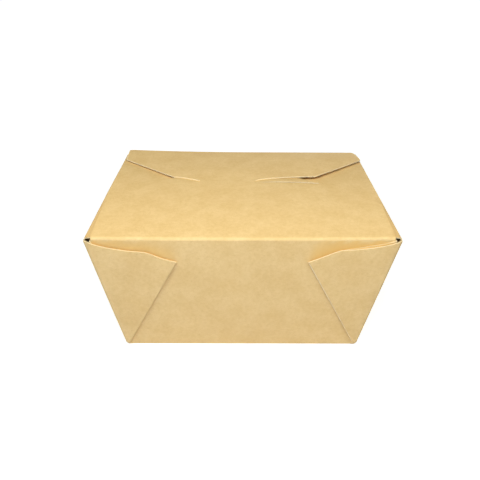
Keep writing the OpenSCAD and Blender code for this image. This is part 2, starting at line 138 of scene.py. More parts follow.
@dataclass(frozen=True)
class BoxSizes:
    """Sizes of the folded box in millimetres.

    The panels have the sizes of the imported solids. The web's layers lie closer together than
    there, and the small warps of the walls are those of the real board.
    """

    # Board, and the outer radii of its folds
    board: float = 0.5
    lid_fold_r: float = 1.2
    end_lid_r: float = 1.2
    wall_fold_r: float = 0.8
    end_fold_r: float = 2.0
    # Base, height of the walls and how far they lean out
    base_l: float = 110.6
    base_d: float = 82.9
    wall_h: float = 64.0
    end_lean: float = 11.3
    wall_lean: float = 8.9
    # Web corners: the pleat's foot, the gaps between its layers and the diagonal crease
    pleat_h: float = 2.2
    pleat_w: float = 1.2
    pleat_gap: float = 0.04
    rim_gap: float = 0.06
    crease_lean: float = 27.2
    crease_l: float = 56.0
    # Soft corner between a web and the end wall, and the room left inside it at the rim
    corner_foot_r: float = 1.0
    corner_r: float = 1.9
    corner_gap: float = 2.2
    # Cut edge of a web's outer layer: its heights at places out from the box's middle
    edge_places: tuple[float, ...] = (
        28.2, 30.0, 34.6, 38.5, 41.4, 44.0, 46.7, 50.8,
        54.8, 58.8, 61.5, 62.6, 63.5, 64.1, 64.7,
    )
    edge_left: tuple[float, ...] = (
        52.0, 52.4, 54.1, 56.1, 57.3, 57.4, 57.6, 58.2,
        59.0, 60.0, 60.9, 61.4, 61.9, 62.3, 62.7,
    )
    edge_right: tuple[float, ...] = (
        52.1, 52.9, 55.1, 57.2, 58.3, 58.4, 58.5, 59.0,
        59.5, 60.3, 61.0, 61.35, 61.8, 62.2, 62.6,
    )
    # Cut edge of the inner layer: a step under the outer one's, and on the right rising over it
    inner_step: float = -0.5
    inner_gain: float = 1.35
    inner_start: float = 36.0
    inner_run: float = 20.0
    # Height of the seam between the two sheets, and of the rear flap's top over the walls' height
    seam_z: float = 62.3
    rear_step: float = 0.2
    # Front flap: its sag and the length of its hook behind the cut
    front_sag: float = 0.5
    hook_l: float = 18.0
    # End flaps: their gap under the front flap, length, sag and taper
    dust_gap: float = 0.35
    dust_l: float = 42.0
    dust_sag: float = 0.85
    dust_taper: float = 11.0
    # Tongue: its distance from the hinge line, its ends and its length under the lid
    tongue_reach: float = 41.9
    tongue_left: float = 21.4
    tongue_right: float = 6.8
    tongue_h: float = 5.6
    # Cut that the tongue goes in: how far it strays from the tongue's line at the tongue's two
    # ends and at the places to the right of them
    cut_places: tuple[float, ...] = (17.0, 24.5, 32.0, 39.0)
    cut_strays: tuple[float, ...] = (0.0, -0.15, -0.15, 0.15, 0.7, 1.7)
    # Stretch past the tongue's ends over which it weighs on the board
    span_left: float = 2.5
    span_right: float = 4.0
    span_fade: float = 7.0
    # Shares of a wall's width that the roots of its flaps take
    root_share: float = 0.998
    flap_share: float = 0.996
    # Bow of the front wall: how far its ends stay behind at the rim
    bow_left: float = 0.35
    bow_right: float = 1.0
    bow_half: float = 64.0
    bow_power: float = 1.5
    # Shift of the ends along x at the rim, to the right, and more at the rear left
    lean_left: float = 0.25
    lean_right: float = 0.4
    pinch_left: float = 0.65
    pinch_depth: float = 42.0
    shift_start: float = 20.0
    shift_run: float = 35.0

    @property
    def fold_m(self) -> float:
        """Radius of the board's middle in the folds round the lid."""
        return self.lid_fold_r - self.board / 2

    @property
    def wall_slope(self) -> float:
        """Lean of the front and rear walls, in radians."""
        return math.atan(self.wall_lean / self.wall_h)

    @property
    def end_slope(self) -> float:
        """Lean of the end walls, in radians."""
        return math.atan(self.end_lean / self.wall_h)

    @property
    def hinge_y(self) -> float:
        """Place of the rear hinge line."""
        return self.base_d / 2 + self.wall_lean - self.board / 2

    @property
    def hinge_z(self) -> float:
        """Height of the rear hinge line, on the rear flap's top face."""
        return self.wall_h + self.rear_step

    @property
    def front_rim(self) -> float:
        """Height at which the front wall turns into its lid fold."""
        return self.wall_h - self.lid_fold_r - self.fold_m * math.sin(self.wall_slope)

    @property
    def end_rim(self) -> float:
        """Height at which an end wall turns into the fold of its flap."""
        top = self.wall_h - self.board - self.dust_gap
        return top - self.end_lid_r - (self.end_lid_r - self.board / 2) * math.sin(self.end_slope)

    @property
    def side_top_x(self) -> float:
        """Top of a wall's side edge."""
        return self.side_fold_x(self.end_rim)

    @property
    def corner_top_x(self) -> float:
        """Middle of an end wall's board at its rim."""
        return self.end_x(self.end_rim)

    @property
    def foot_crease_x(self) -> float:
        """Foot of the web's diagonal crease."""
        return self.side_fold_x(self.pleat_h) - (self.pleat_w - self.pitch(self.pleat_h))

    @property
    def step_x(self) -> float:
        """Place where the foot steps out from the wall to the web."""
        return self.foot_crease_x - self.pitch(self.pleat_h) / 2 - self.board / 2

    @property
    def tip_x(self) -> float:
        """Tip of the web, at the top of its diagonal crease."""
        return self.foot_crease_x - self.crease_l * math.sin(math.radians(self.crease_lean))

    def end_x(self, z: Real) -> Real:
        """Returns the middle of an end wall's board at height z."""
        return self.base_l / 2 - self.board / 2 + self.end_lean * z / self.wall_h

    def wall_y(self, z: Real) -> Real:
        """Returns the middle of the rear wall's board at height z."""
        return self.base_d / 2 - self.board / 2 + self.wall_lean * z / self.wall_h

    def pitch(self, z: Real) -> Real:
        """Returns the spacing of a web corner's layers at height z."""
        return self.board + mix(self.pleat_gap, self.rim_gap, z / self.wall_h)

    def corner_radius(self, z: Real) -> Real:
        """Returns the radius between the web and the end wall at height z."""
        return mix(self.corner_foot_r, self.corner_r, z / self.wall_h)

    def side_fold_x(self, z: Real) -> Real:
        """Returns where a wall's side edge folds back into the web's inner layer."""
        gap = mix(self.pleat_gap, self.corner_gap, z / self.wall_h)
        return self.end_x(z) - self.pitch(z) / 2 - self.board - gap

    def edge_z(self, x: Real, right: bool) -> Real:
        """Returns the height at x of the left or the right web's cut edge."""
        return np.interp(np.abs(x), self.edge_places, self.edge_right if right else self.edge_left)

    def inner_rise(self, x: Real, right: bool) -> Real:
        """Returns how far the web's inner layer stands above its outer one at x."""
        out = smooth((np.abs(x) - self.inner_start) / self.inner_run)
        return self.inner_step + self.inner_gain * out * right

    def front_bow(self, x: Real, z: Real) -> Real:
        """Works out how far the front wall stays behind its middle near its ends.

        Args:
            x: Places along the wall.
            z: Their heights.

        Returns:
            The distance towards the rear.
        """
        reach = np.where(x > 0, self.bow_right, self.bow_left)
        height = np.clip(z, 0, None) / self.wall_h
        return reach * np.square(x / self.bow_half) * np.power(height, self.bow_power)

    def end_shift(self, x: Real, y: Real, z: Real) -> Real:
        """Works out how far the board moves along x where the ends aren't quite symmetric.

        Args:
            x: Places from left to right.
            y: Places from front to rear.
            z: Heights.

        Returns:
            The shift, which grows towards the rim and towards the ends.
        """
        height = np.square(np.clip(z, 0, None) / self.wall_h)
        outer = smooth((np.abs(x) - self.shift_start) / self.shift_run)
        pinch = mix(self.lean_left, self.pinch_left, smooth(y / self.pinch_depth))
        return np.where(x > 0, self.lean_right, pinch) * height * outer

    def tongue_q(self, x: Real) -> Real:
        """Returns the distance of the tongue, and of its cut, from the hinge line at x."""
        places = (-self.tongue_left, self.tongue_right, *self.cut_places)
        return self.tongue_reach + np.interp(x, places, self.cut_strays)

    def tongue_span(self, x: Real) -> Real:
        """Returns how far the tongue weighs on the board at x, from 0 to 1."""
        left = smooth((x + self.tongue_left + self.span_left) / (2 * self.span_left))
        return left * smooth((self.tongue_right + self.span_right - x) / self.span_fade)


@dataclass(frozen=True)
class FoldFinish:
    """How finely the carton's folds are divided, and their backs' wear and painted highlight, from 0 to 1.
    """

    steps: int = 10
    lid_steps: int = 12
    foot_steps: int = 8
    wear_and_highlight: float = 0.06
    wear_and_highlight_power: float = 0.7
    corner_wear_and_highlight: float = 0.04
    # The right web's diagonal crease faces the light: its much stronger mark is mostly painted highlight
    left_diagonal_wear_and_highlight: float = 0.15
    right_diagonal_wear_and_highlight: float = 1.0
    diagonal_power: float = 0.5

    def over_rim(
        self, slope: float, tilt: float, radius: float, flat: tuple[float, ...]
    ) -> tuple[Array, Array, Array]:
        """Follows a flap from its wall's rim over the fold and along the flat.

        Args:
            slope: Lean of the wall in radians.
            tilt: Downward tilt of the flap in radians.
            radius: Radius of the board's middle in the fold.
            flat: Distances along the flat after the fold.

        Returns:
            How far in and how far up each row lies from the rim, and its crease mark.
        """
        turns = np.linspace(0, math.pi / 2 + slope + tilt, self.lid_steps + 1)
        inward = radius * (math.cos(slope) - np.cos(turns - slope))
        up = radius * (np.sin(turns - slope) + math.sin(slope))
        marks = self.wear_and_highlight * np.sin(np.linspace(0, math.pi, len(turns))) ** self.wear_and_highlight_power
        far = np.array(flat)
        inward = np.concatenate([inward, inward[-1] + far * math.cos(tilt)])
        up = np.concatenate([up, up[-1] - far * math.sin(tilt)])
        return inward, up, np.concatenate([marks, np.zeros(len(far))])


class Sheet:
    """The middle surface of a folded board, welded from grids of points."""

    def __init__(self, name: str, board: float) -> None:
        """Starts an empty sheet.

        Args:
            name: Name of the piece.
            board: Thickness of the board in millimetres.
        """
        self.name = name
        self.board = board
        self.points: list[Array] = []
        self.marks: dict[Mark, list[float]] = {mark: [] for mark in Mark}
        self.faces: list[tuple[int, ...]] = []

    def add_grid(
        self,
        grid: Array,
        marks: dict[Mark, Array],
        closed: bool = False,
        keep: Optional[Callable[[int, int], bool]] = None,
    ) -> None:
        """Adds a grid of points, indexed by row, column and axis.

        Args:
            grid: Points in millimetres.
            marks: The marks of the points, where they have some.
            closed: Whether the last column joins the first.
            keep: Says by row and column which cells are board. Without it, all are.
        """
        rows, cols = grid.shape[:2]
        first = len(self.points)
        self.points.extend(grid.reshape(-1, 3))
        for mark, store in self.marks.items():
            store.extend(np.broadcast_to(marks.get(mark, np.zeros(1)), (rows, cols)).reshape(-1))
        for r in range(rows - 1):
            for c in range(cols if closed else cols - 1):
                if keep is None or keep(r, c):
                    n = (c + 1) % cols
                    low, high = first + r * cols, first + (r + 1) * cols
                    self.faces.append((low + c, low + n, high + n, high + c))

    def add_faces(self, points: Array, faces: list[tuple[int, ...]]) -> None:
        """Adds faces over points of their own, which carry no marks.

        Args:
            points: Points in millimetres.
            faces: Each face's corners, as places in the points.
        """
        first = len(self.points)
        self.points.extend(points)
        for store in self.marks.values():
            store.extend([0.0] * len(points))
        self.faces.extend(tuple(first + i for i in face) for face in faces)

    def weld(self) -> bpy.types.Mesh:
        """Welds the grids where they meet.

        Returns:
            The mesh of the board's middle, with the marks on its points.
        """
        mesh = bpy.data.meshes.new(self.name)
        shape = bmesh.new()
        layers = {mark: shape.verts.layers.float.new(mark.value) for mark in Mark}
        verts = []
        for i, point in enumerate(self.points):
            vert = shape.verts.new(Vector(point) * MM)
            for mark, layer in layers.items():
                vert[layer] = self.marks[mark][i]
            verts.append(vert)
        for face in self.faces:
            shape.faces.new([verts[i] for i in face])
        bmesh.ops.remove_doubles(shape, verts=shape.verts, dist=WELD_MM * MM)
        loose = [v for v in shape.verts if not v.link_faces]
        bmesh.ops.delete(shape, geom=loose, context="VERTS")
        shape.to_mesh(mesh)
        shape.free()
        return mesh

    def build(self, materials: dict[BoardSide, bpy.types.Material]) -> bpy.types.Object:
        """Thickens the welded sheet to the board and dresses its surfaces.

        Args:
            materials: The finish of each kind of surface.

        Returns:
            The finished mesh object.
        """
        mesh = self.weld()
        for side in BoardSide:
            mesh.materials.append(materials[side])
        obj = bpy.data.objects.new(self.name, mesh)
        bpy.context.scene.collection.objects.link(obj)
        thick = obj.modifiers.new("board", "SOLIDIFY")
        thick.thickness = self.board * MM
        thick.offset = 0.0
        thick.use_even_offset = True
        thick.use_quality_normals = True
        thick.material_offset = BoardSide.INSIDE.value
        thick.material_offset_rim = BoardSide.CUT_EDGE.value
        self.settle(obj)
        return obj

    def settle(self, obj: bpy.types.Object) -> None:
        """Applies the board's thickness and keeps its cut edges sharp.

        Args:
            obj: The sheet's object, with its thickness as a modifier.
        """
        graph = bpy.context.evaluated_depsgraph_get()
        solid = bpy.data.meshes.new_from_object(obj.evaluated_get(graph))
        obj.modifiers.clear()
        middle, obj.data = obj.data, solid
        bpy.data.meshes.remove(middle)
        solid.name = self.name
        solid.polygons.foreach_set("use_smooth", [True] * len(solid.polygons))
        solid.set_sharp_from_angle(angle=SHARP_ANGLE)


@dataclass
class Column:
    """One column of the walls, from the foot of the pleats to its cut or folded top.

    Attributes:
        points: The column's points, from the foot up.
        crease: Wear and painted highlight of the fold that the column lies in, from 0 to 1.
        in_foot: Whether the board goes on from the column's foot to the base.
        turn_share: How far the column has turned from the wall to the end wall, from 0 to 1.
        ear: How far the pleat's layers push the column's foot outwards.
        behind_web: Whether the column can lie behind the cut edge of a web.
    """

    points: Array
    crease: float = 0.0
    in_foot: bool = True
    turn_share: float = 0.0
    ear: float = 0.0
    behind_web: bool = False


@dataclass(frozen=True)
class Quarter:
    """A quarter of the walls, laid out with its wall at the rear and its end at the right.

    Attributes:
        sizes: Sizes of the box.
        fold: Finish of its folds.
        rim: Height of the wall's top.
        wall_shares: Places of the wall's columns, as shares of its half width.
        rows: Places of the rows, as shares of each column's height.
        right_cut: Whether the web is cut like the front right one.
        inner_count: Number of columns inside the web's inner layer.
        outer_shares: Places of the outer layer's columns, as shares of the way from the corner
            back to the tip.
        end_shares: Places of the end wall's columns inside the root of its flap, as shares of
            its half width.
    """

    sizes: BoxSizes
    fold: FoldFinish
    rim: float
    wall_shares: Array
    rows: Array
    right_cut: bool
    inner_count: int = 8
    outer_shares: tuple[float, ...] = (
        0.982, 0.93, 0.86, 0.79, 0.72, 0.64, 0.57,
        0.48, 0.39, 0.3, 0.21, 0.13, 0.06,
    )
    end_shares: tuple[float, ...] = (0.9, 0.8, 0.65, 0.5, 0.35, 0.18)

    @property
    def full_ear(self) -> float:
        """How far the web's two layers push the foot of the outer one outwards."""
        return WebLayer.OUTER.value * self.sizes.pitch(self.sizes.pleat_h)

    def edge_top(self, x: float, inner: float = 0.0) -> float:
        """Returns the height of the web's cut edge at x, for the given share of the inner layer."""
        s = self.sizes
        return float(s.edge_z(x, self.right_cut) + s.inner_rise(x, self.right_cut) * inner)

    def layer_points(
        self, x_foot: float, x_top: float, z_top: float, layer: WebLayer, turn: Optional[float] = None
    ) -> Array:
        """Lays out a column on a layer of the web, or at an angle round one of its folds.

        Args:
            x_foot: Place of the column's foot.
            x_top: Place of its top.
            z_top: Height of its top.
            layer: The layer, or the fold between two.
            turn: Angle round the fold in radians.

        Returns:
            The column's points.
        """
        s = self.sizes
        z = mix(s.pleat_h, z_top, self.rows)
        x = mix(x_foot, x_top, self.rows)
        y = s.wall_y(z) + layer.value * s.pitch(z)
        if turn is not None:
            x = x + s.pitch(z) / 2 * math.cos(turn)
            y = y + s.pitch(z) / 2 * math.sin(turn)
        return np.stack([x, y, z], axis=1)

    def wall_columns(self) -> list[Column]:
        """Lays out the wall, from beside its middle to its side edge.

        Returns:
            The columns. Those beyond the foot's step don't go on to the base.
        """
        s = self.sizes
        z = mix(s.pleat_h, self.rim, self.rows)
        step = s.step_x / s.side_fold_x(s.pleat_h)
        out = []
        for k in self.wall_shares:
            points = np.stack([k * s.side_fold_x(z), s.wall_y(z), z], axis=1)
            out.append(Column(points, in_foot=k <= step + NEAR, behind_web=True))
        return out

    def side_fold_columns(self) -> list[Column]:
        """Lays out the fold at the wall's side edge, back into the web's inner layer.

        Returns:
            The columns. Their tops step down from the rim to the inner layer's cut edge.
        """
        s = self.sizes
        low = min(self.rim, self.edge_top(s.side_top_x, inner=1.0))
        out = []
        for share in np.arange(self.fold.steps + 1) / self.fold.steps:
            z_top = mix(self.rim, low, share)
            turn = math.radians(mix(-90, 90, share))
            points = self.layer_points(
                s.side_fold_x(s.pleat_h), s.side_fold_x(z_top), z_top, WebLayer.SIDE_FOLD, turn
            )
            wear_and_highlight = self.fold.wear_and_highlight * math.sin(math.pi * share)
            out.append(Column(points, crease=wear_and_highlight, in_foot=False))
        return out

    def inner_columns(self) -> list[Column]:
        """Lays out the web's inner layer, from the side edge to the diagonal crease.

        Returns:
            The columns.
        """
        s = self.sizes
        out = []
        for k in np.linspace(0, 1, self.inner_count + 2)[1:-1]:
            x_foot = mix(s.side_fold_x(s.pleat_h), s.foot_crease_x, k)
            x_top = mix(s.side_top_x, s.tip_x, k)
            points = self.layer_points(x_foot, x_top, self.edge_top(x_top, inner=1.0), WebLayer.INNER)
            out.append(Column(points, in_foot=False, behind_web=True))
        return out

    def diagonal_columns(self) -> list[Column]:
        """Lays out the diagonal crease, from the inner layer round to the outer one.

        Returns:
            The columns. The crease's outer half goes on to the base.
        """
        s = self.sizes
        wear_and_highlight = self.fold.right_diagonal_wear_and_highlight if self.right_cut else self.fold.left_diagonal_wear_and_highlight
        out = []
        for i in range(self.fold.steps + 1):
            share = i / self.fold.steps
            turn = math.radians(mix(-90, -270, share))
            z_top = self.edge_top(s.tip_x, inner=1 - share)
            points = self.layer_points(s.foot_crease_x, s.tip_x, z_top, WebLayer.DIAGONAL, turn)
            ear = s.pitch(s.pleat_h) * (WebLayer.DIAGONAL.value + math.sin(turn) / 2)
            worn_and_highlighted = wear_and_highlight * math.sin(math.pi * share) ** self.fold.diagonal_power
            out.append(Column(points, crease=worn_and_highlighted, in_foot=i >= self.fold.steps // 2, ear=ear))
        return out

    def outer_columns(self) -> list[Column]:
        """Lays out the web's outer layer, from the diagonal crease to the soft corner.

        Returns:
            The columns.
        """
        s = self.sizes
        corner_foot = s.end_x(s.pleat_h) - s.corner_radius(s.pleat_h)
        out = []
        for k in self.outer_shares:
            x_foot = mix(corner_foot, s.foot_crease_x, k)
            x_top = mix(s.corner_top_x - s.corner_r, s.tip_x, k)
            points = self.layer_points(x_foot, x_top, self.edge_top(x_top), WebLayer.OUTER)
            out.append(Column(points, ear=self.full_ear))
        return out

    def corner_columns(self) -> list[Column]:
        """Lays out the soft corner, from the web's outer layer to the end wall.

        Returns:
            The columns. Their tops rise from the web's cut edge to the end wall's rim.
        """
        s = self.sizes
        out = []
        for i in range(self.fold.steps + 1):
            share = i / self.fold.steps
            turn = math.radians(90 * (1 - share))
            x_top = s.corner_top_x - s.corner_r * (1 - math.cos(turn))
            z_top = mix(self.edge_top(x_top), s.end_rim, smooth(2 * share - 1))
            z = mix(s.pleat_h, z_top, self.rows)
            radius = s.corner_radius(z)
            x = s.end_x(z) - radius * (1 - math.cos(turn))
            y = s.wall_y(z) + WebLayer.OUTER.value * s.pitch(z) - radius * (1 - math.sin(turn))
            points = np.stack([x, y, z], axis=1)
            out.append(Column(points, self.fold.corner_wear_and_highlight, turn_share=share, ear=self.full_ear))
        return out

    def end_columns(self) -> list[Column]:
        """Lays out the end wall, from the root of its flap to beside its middle.

        Returns:
            The columns.
        """
        s = self.sizes
        z = mix(s.pleat_h, s.end_rim, self.rows)
        y = s.wall_y(z) + WebLayer.OUTER.value * s.pitch(z) - s.corner_radius(z)
        out = []
        for k in (s.root_share, *self.end_shares):
            points = np.stack([s.end_x(z), k * y, z], axis=1)
            out.append(Column(points, turn_share=1.0, ear=k * self.full_ear))
        return out

    def placed(self, at_right: bool, at_front: bool) -> list[Column]:
        """Lays out the whole quarter in its place, with the walls' small warps.

        Args:
            at_right: Whether the quarter is at the right end.
            at_front: Whether its wall is the front one.

        Returns:
            The columns, from beside the wall's middle to beside the end wall's middle.
        """
        s = self.sizes
        columns = self.wall_columns() + self.side_fold_columns() + self.inner_columns()
        columns += self.diagonal_columns() + self.outer_columns()
        columns += self.corner_columns() + self.end_columns()
        out = []
        for column in columns:
            points = column.points.copy()
            if not at_right:
                points[:, 0] *= -1
            if at_front:
                points[:, 1] = -(points[:, 1] - s.front_bow(points[:, 0], points[:, 2]))
            points[:, 0] += s.end_shift(*points.T)
            ear = -column.ear if at_front else column.ear
            out.append(replace(column, points=points, ear=ear))
        return out


@dataclass(frozen=True)
class WebShade:
    """Painted shade: warmer, darker board behind the cut edge of a web, where less light falls.

    Attributes:
        depth: Strength of the painted shade, from 0 to 1.
        fade_above: How far above the cut edge it reaches.
        fade_below: How far below the edge it reaches.
        start: Distance from the box's middle at which it starts.
        run: Distance over which it comes in.
    """

    depth: float
    fade_above: float
    fade_below: float = 1.2
    start: float = 26.0
    run: float = 6.0

    def at(self, x: Array, above: Array) -> Array:
        """Returns the mark of points at x whose height above the cut edge is given."""
        fade = np.where(above > 0, self.fade_above, self.fade_below)
        return self.depth * smooth((np.abs(x) - self.start) / self.run) * bell(above / fade)


@dataclass(frozen=True)
class FrontFlap:
    """Front lid flap with the cut for the tongue and the hook behind it.

    Its sides run from the fold to two tips, its diagonals from there to two knees, and the cut
    crosses it between the knees.
    """

    sizes: BoxSizes
    fold: FoldFinish
    # Length of the sides, places of the tips and knees, and rows of the sides and diagonals
    side_l: float = 31.6
    tip_left: float = 64.3
    tip_right: float = 65.0
    knee_left: float = 42.8
    knee_right: float = 38.9
    side_stops: tuple[float, ...] = (0.6, 1.6, 3, 5, 8, 11, 14, 17, 20, 23, 26, 28.5, 30.4)
    diagonal_stops: tuple[float, ...] = (0.12, 0.24, 0.36, 0.48, 0.6, 0.7, 0.78, 0.85, 0.9, 0.94, 0.97, 1.0)
    # Rate at which the bow of the wall's rim straightens out along the sides
    straightening: float = 2.2
    # Cut: its width, its room at the tongue and how far it goes past the tongue's ends
    cut_gap: float = 0.3
    lip_gap: float = 0.16
    slot_room: float = 2.6
    cut_past: float = 0.5
    slot_past: float = 0.6
    slot_fade: float = 3.0
    # Near lip of the cut, lifted by the tongue
    lip_rise: float = 0.5
    lip_reach: float = 9.0
    # Hook behind the cut, pressed down by the tongue and springing up to its right
    hook_dip: float = 0.6
    hook_rise: float = 0.45
    hook_reach: float = 4.0
    hook_start: float = 1.0
    hook_run: float = 12.0
    hook_end: float = 8.0
    # Outline of the hook: rows, taper and the rounding of its end
    hook_stops: tuple[float, ...] = (0.0, 0.02, 0.05, 0.1, 0.18, 0.3, 0.45, 0.62, 0.8, 0.93, 1.0)
    hook_taper: float = 0.62
    round_share: float = 0.1
    round_start: float = 0.8
    round_run: float = 0.2

    def cut_shares(self) -> tuple[float, float]:
        """Works out which of the wall's columns have to pass the ends of the cut.

        Returns:
            The left end of the cut and the right end of the tongue's slot, as shares of the
            wall's half width.
        """
        s = self.sizes
        half = (self.knee_left + self.knee_right) / 2
        middle = (self.knee_right - self.knee_left) / 2
        left = s.flap_share * (s.tongue_left + self.cut_past + middle) / half
        right = s.flap_share * (s.tongue_right + self.slot_past - middle) / half
        return left, right

    def lips(self, x: Array) -> tuple[Array, Array]:
        """Finds the two lips of the cut.

        Args:
            x: Places along the cut.

        Returns:
            Where the near and the far lip lie, from front to rear.
        """
        s = self.sizes
        near = s.hinge_y - s.tongue_q(x) - s.board / 2 - self.lip_gap
        past_slot = smooth((x - s.tongue_right - self.slot_past) / self.slot_fade)
        return near, near + mix(s.board + self.slot_room * self.lip_gap, self.cut_gap, past_slot)

    def bump(self, x: Array, y: Array, behind: bool) -> Array:
        """Works out how far the board is pushed up near the cut.

        Args:
            x: Places along the cut.
            y: Places across it.
            behind: Whether they lie behind the cut, on the hook.

        Returns:
            The rise in millimetres.
        """
        s = self.sizes
        near, far = self.lips(x)
        span = s.tongue_span(x)
        if not behind:
            return self.lip_rise * span * bell((near - y) / self.lip_reach)
        start = smooth((x - s.tongue_right - self.hook_start) / self.hook_run)
        spring = start * smooth((self.knee_right + self.hook_end - x) / self.hook_end)
        rise = self.hook_rise * spring * bell((y - far) / self.hook_reach)
        return rise - self.hook_dip * span * bell((y - far) / self.lip_reach)

    def side_rows(self, rim: Array, at: Array, tilt: float) -> tuple[Array, Array]:
        """Lays out the rows over the fold and along the sides, as far as the tips.

        Args:
            rim: The wall's rim, from left to right.
            at: Places along the rows, from 0 to 1.
            tilt: Downward tilt of the flap in radians.

        Returns:
            The rows and their crease marks.
        """
        s = self.sizes
        flat = (*self.side_stops, self.side_l)
        inward, up, marks = self.fold.over_rim(s.wall_slope, tilt, s.fold_m, flat)
        rows = []
        for d, h in zip(inward, up):
            along = np.clip((d - inward[self.fold.lid_steps]) / self.side_l, 0, 1)
            left = (-self.tip_left - rim[0, 0]) * along
            right = (self.tip_right - rim[-1, 0]) * along
            line = mix(rim[:, 1], rim[len(rim) // 2, 1], smooth(along * self.straightening))
            rows.append(np.stack([rim[:, 0] + mix(left, right, at), line + d, rim[:, 2] + h], axis=1))
        return np.array(rows), marks

    def diagonal_rows(self, tips: Array, knee_x: Array) -> list[Array]:
        """Lays out the rows between the tips and the near lip of the cut, without their height.

        Args:
            tips: The row that joins the tips.
            knee_x: Places along the row that joins the knees.

        Returns:
            The rows.
        """
        near, _ = self.lips(knee_x)
        rows = []
        for t in self.diagonal_stops:
            rows.append(np.stack([mix(tips[:, 0], knee_x, t), mix(tips[:, 1], near, t), 0 * near], axis=1))
        return rows

    def hook_rows(self, knee_x: Array) -> list[Array]:
        """Lays out the rows of the hook behind the cut, without their height.

        Args:
            knee_x: Places along the row that joins the knees.

        Returns:
            The rows.
        """
        near, far = self.lips(knee_x)
        end_y = near.min() + self.sizes.hook_l
        outer = np.abs(knee_x) / np.where(knee_x > 0, self.knee_right, self.knee_left)
        rows = []
        for t in self.hook_stops:
            rounding = self.round_share * smooth((t - self.round_start) / self.round_run)
            y = mix(far, end_y, t)
            x = knee_x * (1 - self.hook_taper * t - rounding * outer)
            rows.append(np.stack([x, y, 0 * y], axis=1))
        return rows

    def add_to(self, sheet: Sheet, rim: Array, wall_shares: Array) -> None:
        """Folds the flap over from the front wall.

        Args:
            sheet: The sheet to add to.
            rim: The wall's rim, from left to right.
            wall_shares: Places of the rim's points, as shares of the wall's half width.
        """
        s = self.sizes
        at = (wall_shares / s.flap_share + 1) / 2
        knee_x = mix(-self.knee_left, self.knee_right, at)
        knee_l = s.hinge_y - s.tongue_reach - s.board / 2 - rim[len(rim) // 2, 1] - s.fold_m
        tilt = math.atan(s.front_sag / (knee_l + s.hook_l))
        side, marks = self.side_rows(rim, at, tilt)
        tips = side[-1]
        diagonal = self.diagonal_rows(tips, knee_x)
        hook = self.hook_rows(knee_x)
        for rows, behind in ((diagonal, False), (hook, True)):
            for row in rows:
                row[:, 2] = tips[:, 2] - (row[:, 1] - tips[:, 1]) * math.tan(tilt)
                row[:, 2] += self.bump(row[:, 0], row[:, 1], behind)
        grid = np.concatenate([side, diagonal, hook])
        wear_and_highlight = np.zeros(grid.shape[:2])
        wear_and_highlight[: len(side)] = marks[:, None]
        near_lip = len(side) + len(diagonal) - 1
        cut_start = int(np.argmin(np.abs(knee_x + s.tongue_left + self.cut_past)))
        sheet.add_grid(grid, {Mark.WEAR_AND_HIGHLIGHT: wear_and_highlight}, keep=lambda r, c: r != near_lip or c < cut_start)


@dataclass(frozen=True)
class EndFlap:
    """End flap, folded in from its wall under the front flap."""

    sizes: BoxSizes
    fold: FoldFinish
    stops: tuple[float, ...] = (0.6, 2, 5, 10, 15, 20, 25, 30, 34, 37, 39, 40)
    # Rounding of the flap's free end
    round_l: float = 6.0
    round_in: float = 7.0
    round_power: float = 2.2
    # Painted shade: a darker strip along the fold, where it turns away from the light, from a place in
    # front of the box's middle
    shade_width: float = 3.5
    shade_fade: float = 2.0
    shade_front: float = -8.0
    shade_run: float = 8.0

    def add_to(self, sheet: Sheet, rim: Array) -> None:
        """Folds the flap in from its wall.

        Args:
            sheet: The sheet to add to.
            rim: The wall's rim, along the ring of the walls.
        """
        s = self.sizes
        tilt = math.atan(s.dust_sag / s.dust_l)
        side = math.copysign(1.0, rim[0, 0])
        radius = s.end_lid_r - s.board / 2
        inward, up, marks = self.fold.over_rim(s.end_slope, tilt, radius, (*self.stops, s.dust_l - radius))
        root = np.abs(rim[:, 1]).max()
        rows = []
        for d, h in zip(inward, up):
            taper = s.dust_taper * max(0.0, d) / s.dust_l
            near_end = max(0.0, (d - s.dust_l + self.round_l) / self.round_l)
            half = root - taper - self.round_in * near_end**self.round_power
            rows.append(np.stack([rim[:, 0] - side * d, rim[:, 1] * half / root, rim[:, 2] + h], axis=1))
        # Painted shade along the fold, towards the front
        on_fold = smooth((self.shade_width - np.abs(inward)) / self.shade_fade)
        in_front = smooth((self.shade_front - rim[:, 1]) / self.shade_run)
        shade = on_fold[:, None] * in_front[None, :]
        sheet.add_grid(np.array(rows), {Mark.WEAR_AND_HIGHLIGHT: marks[:, None], Mark.SHADE: shade})


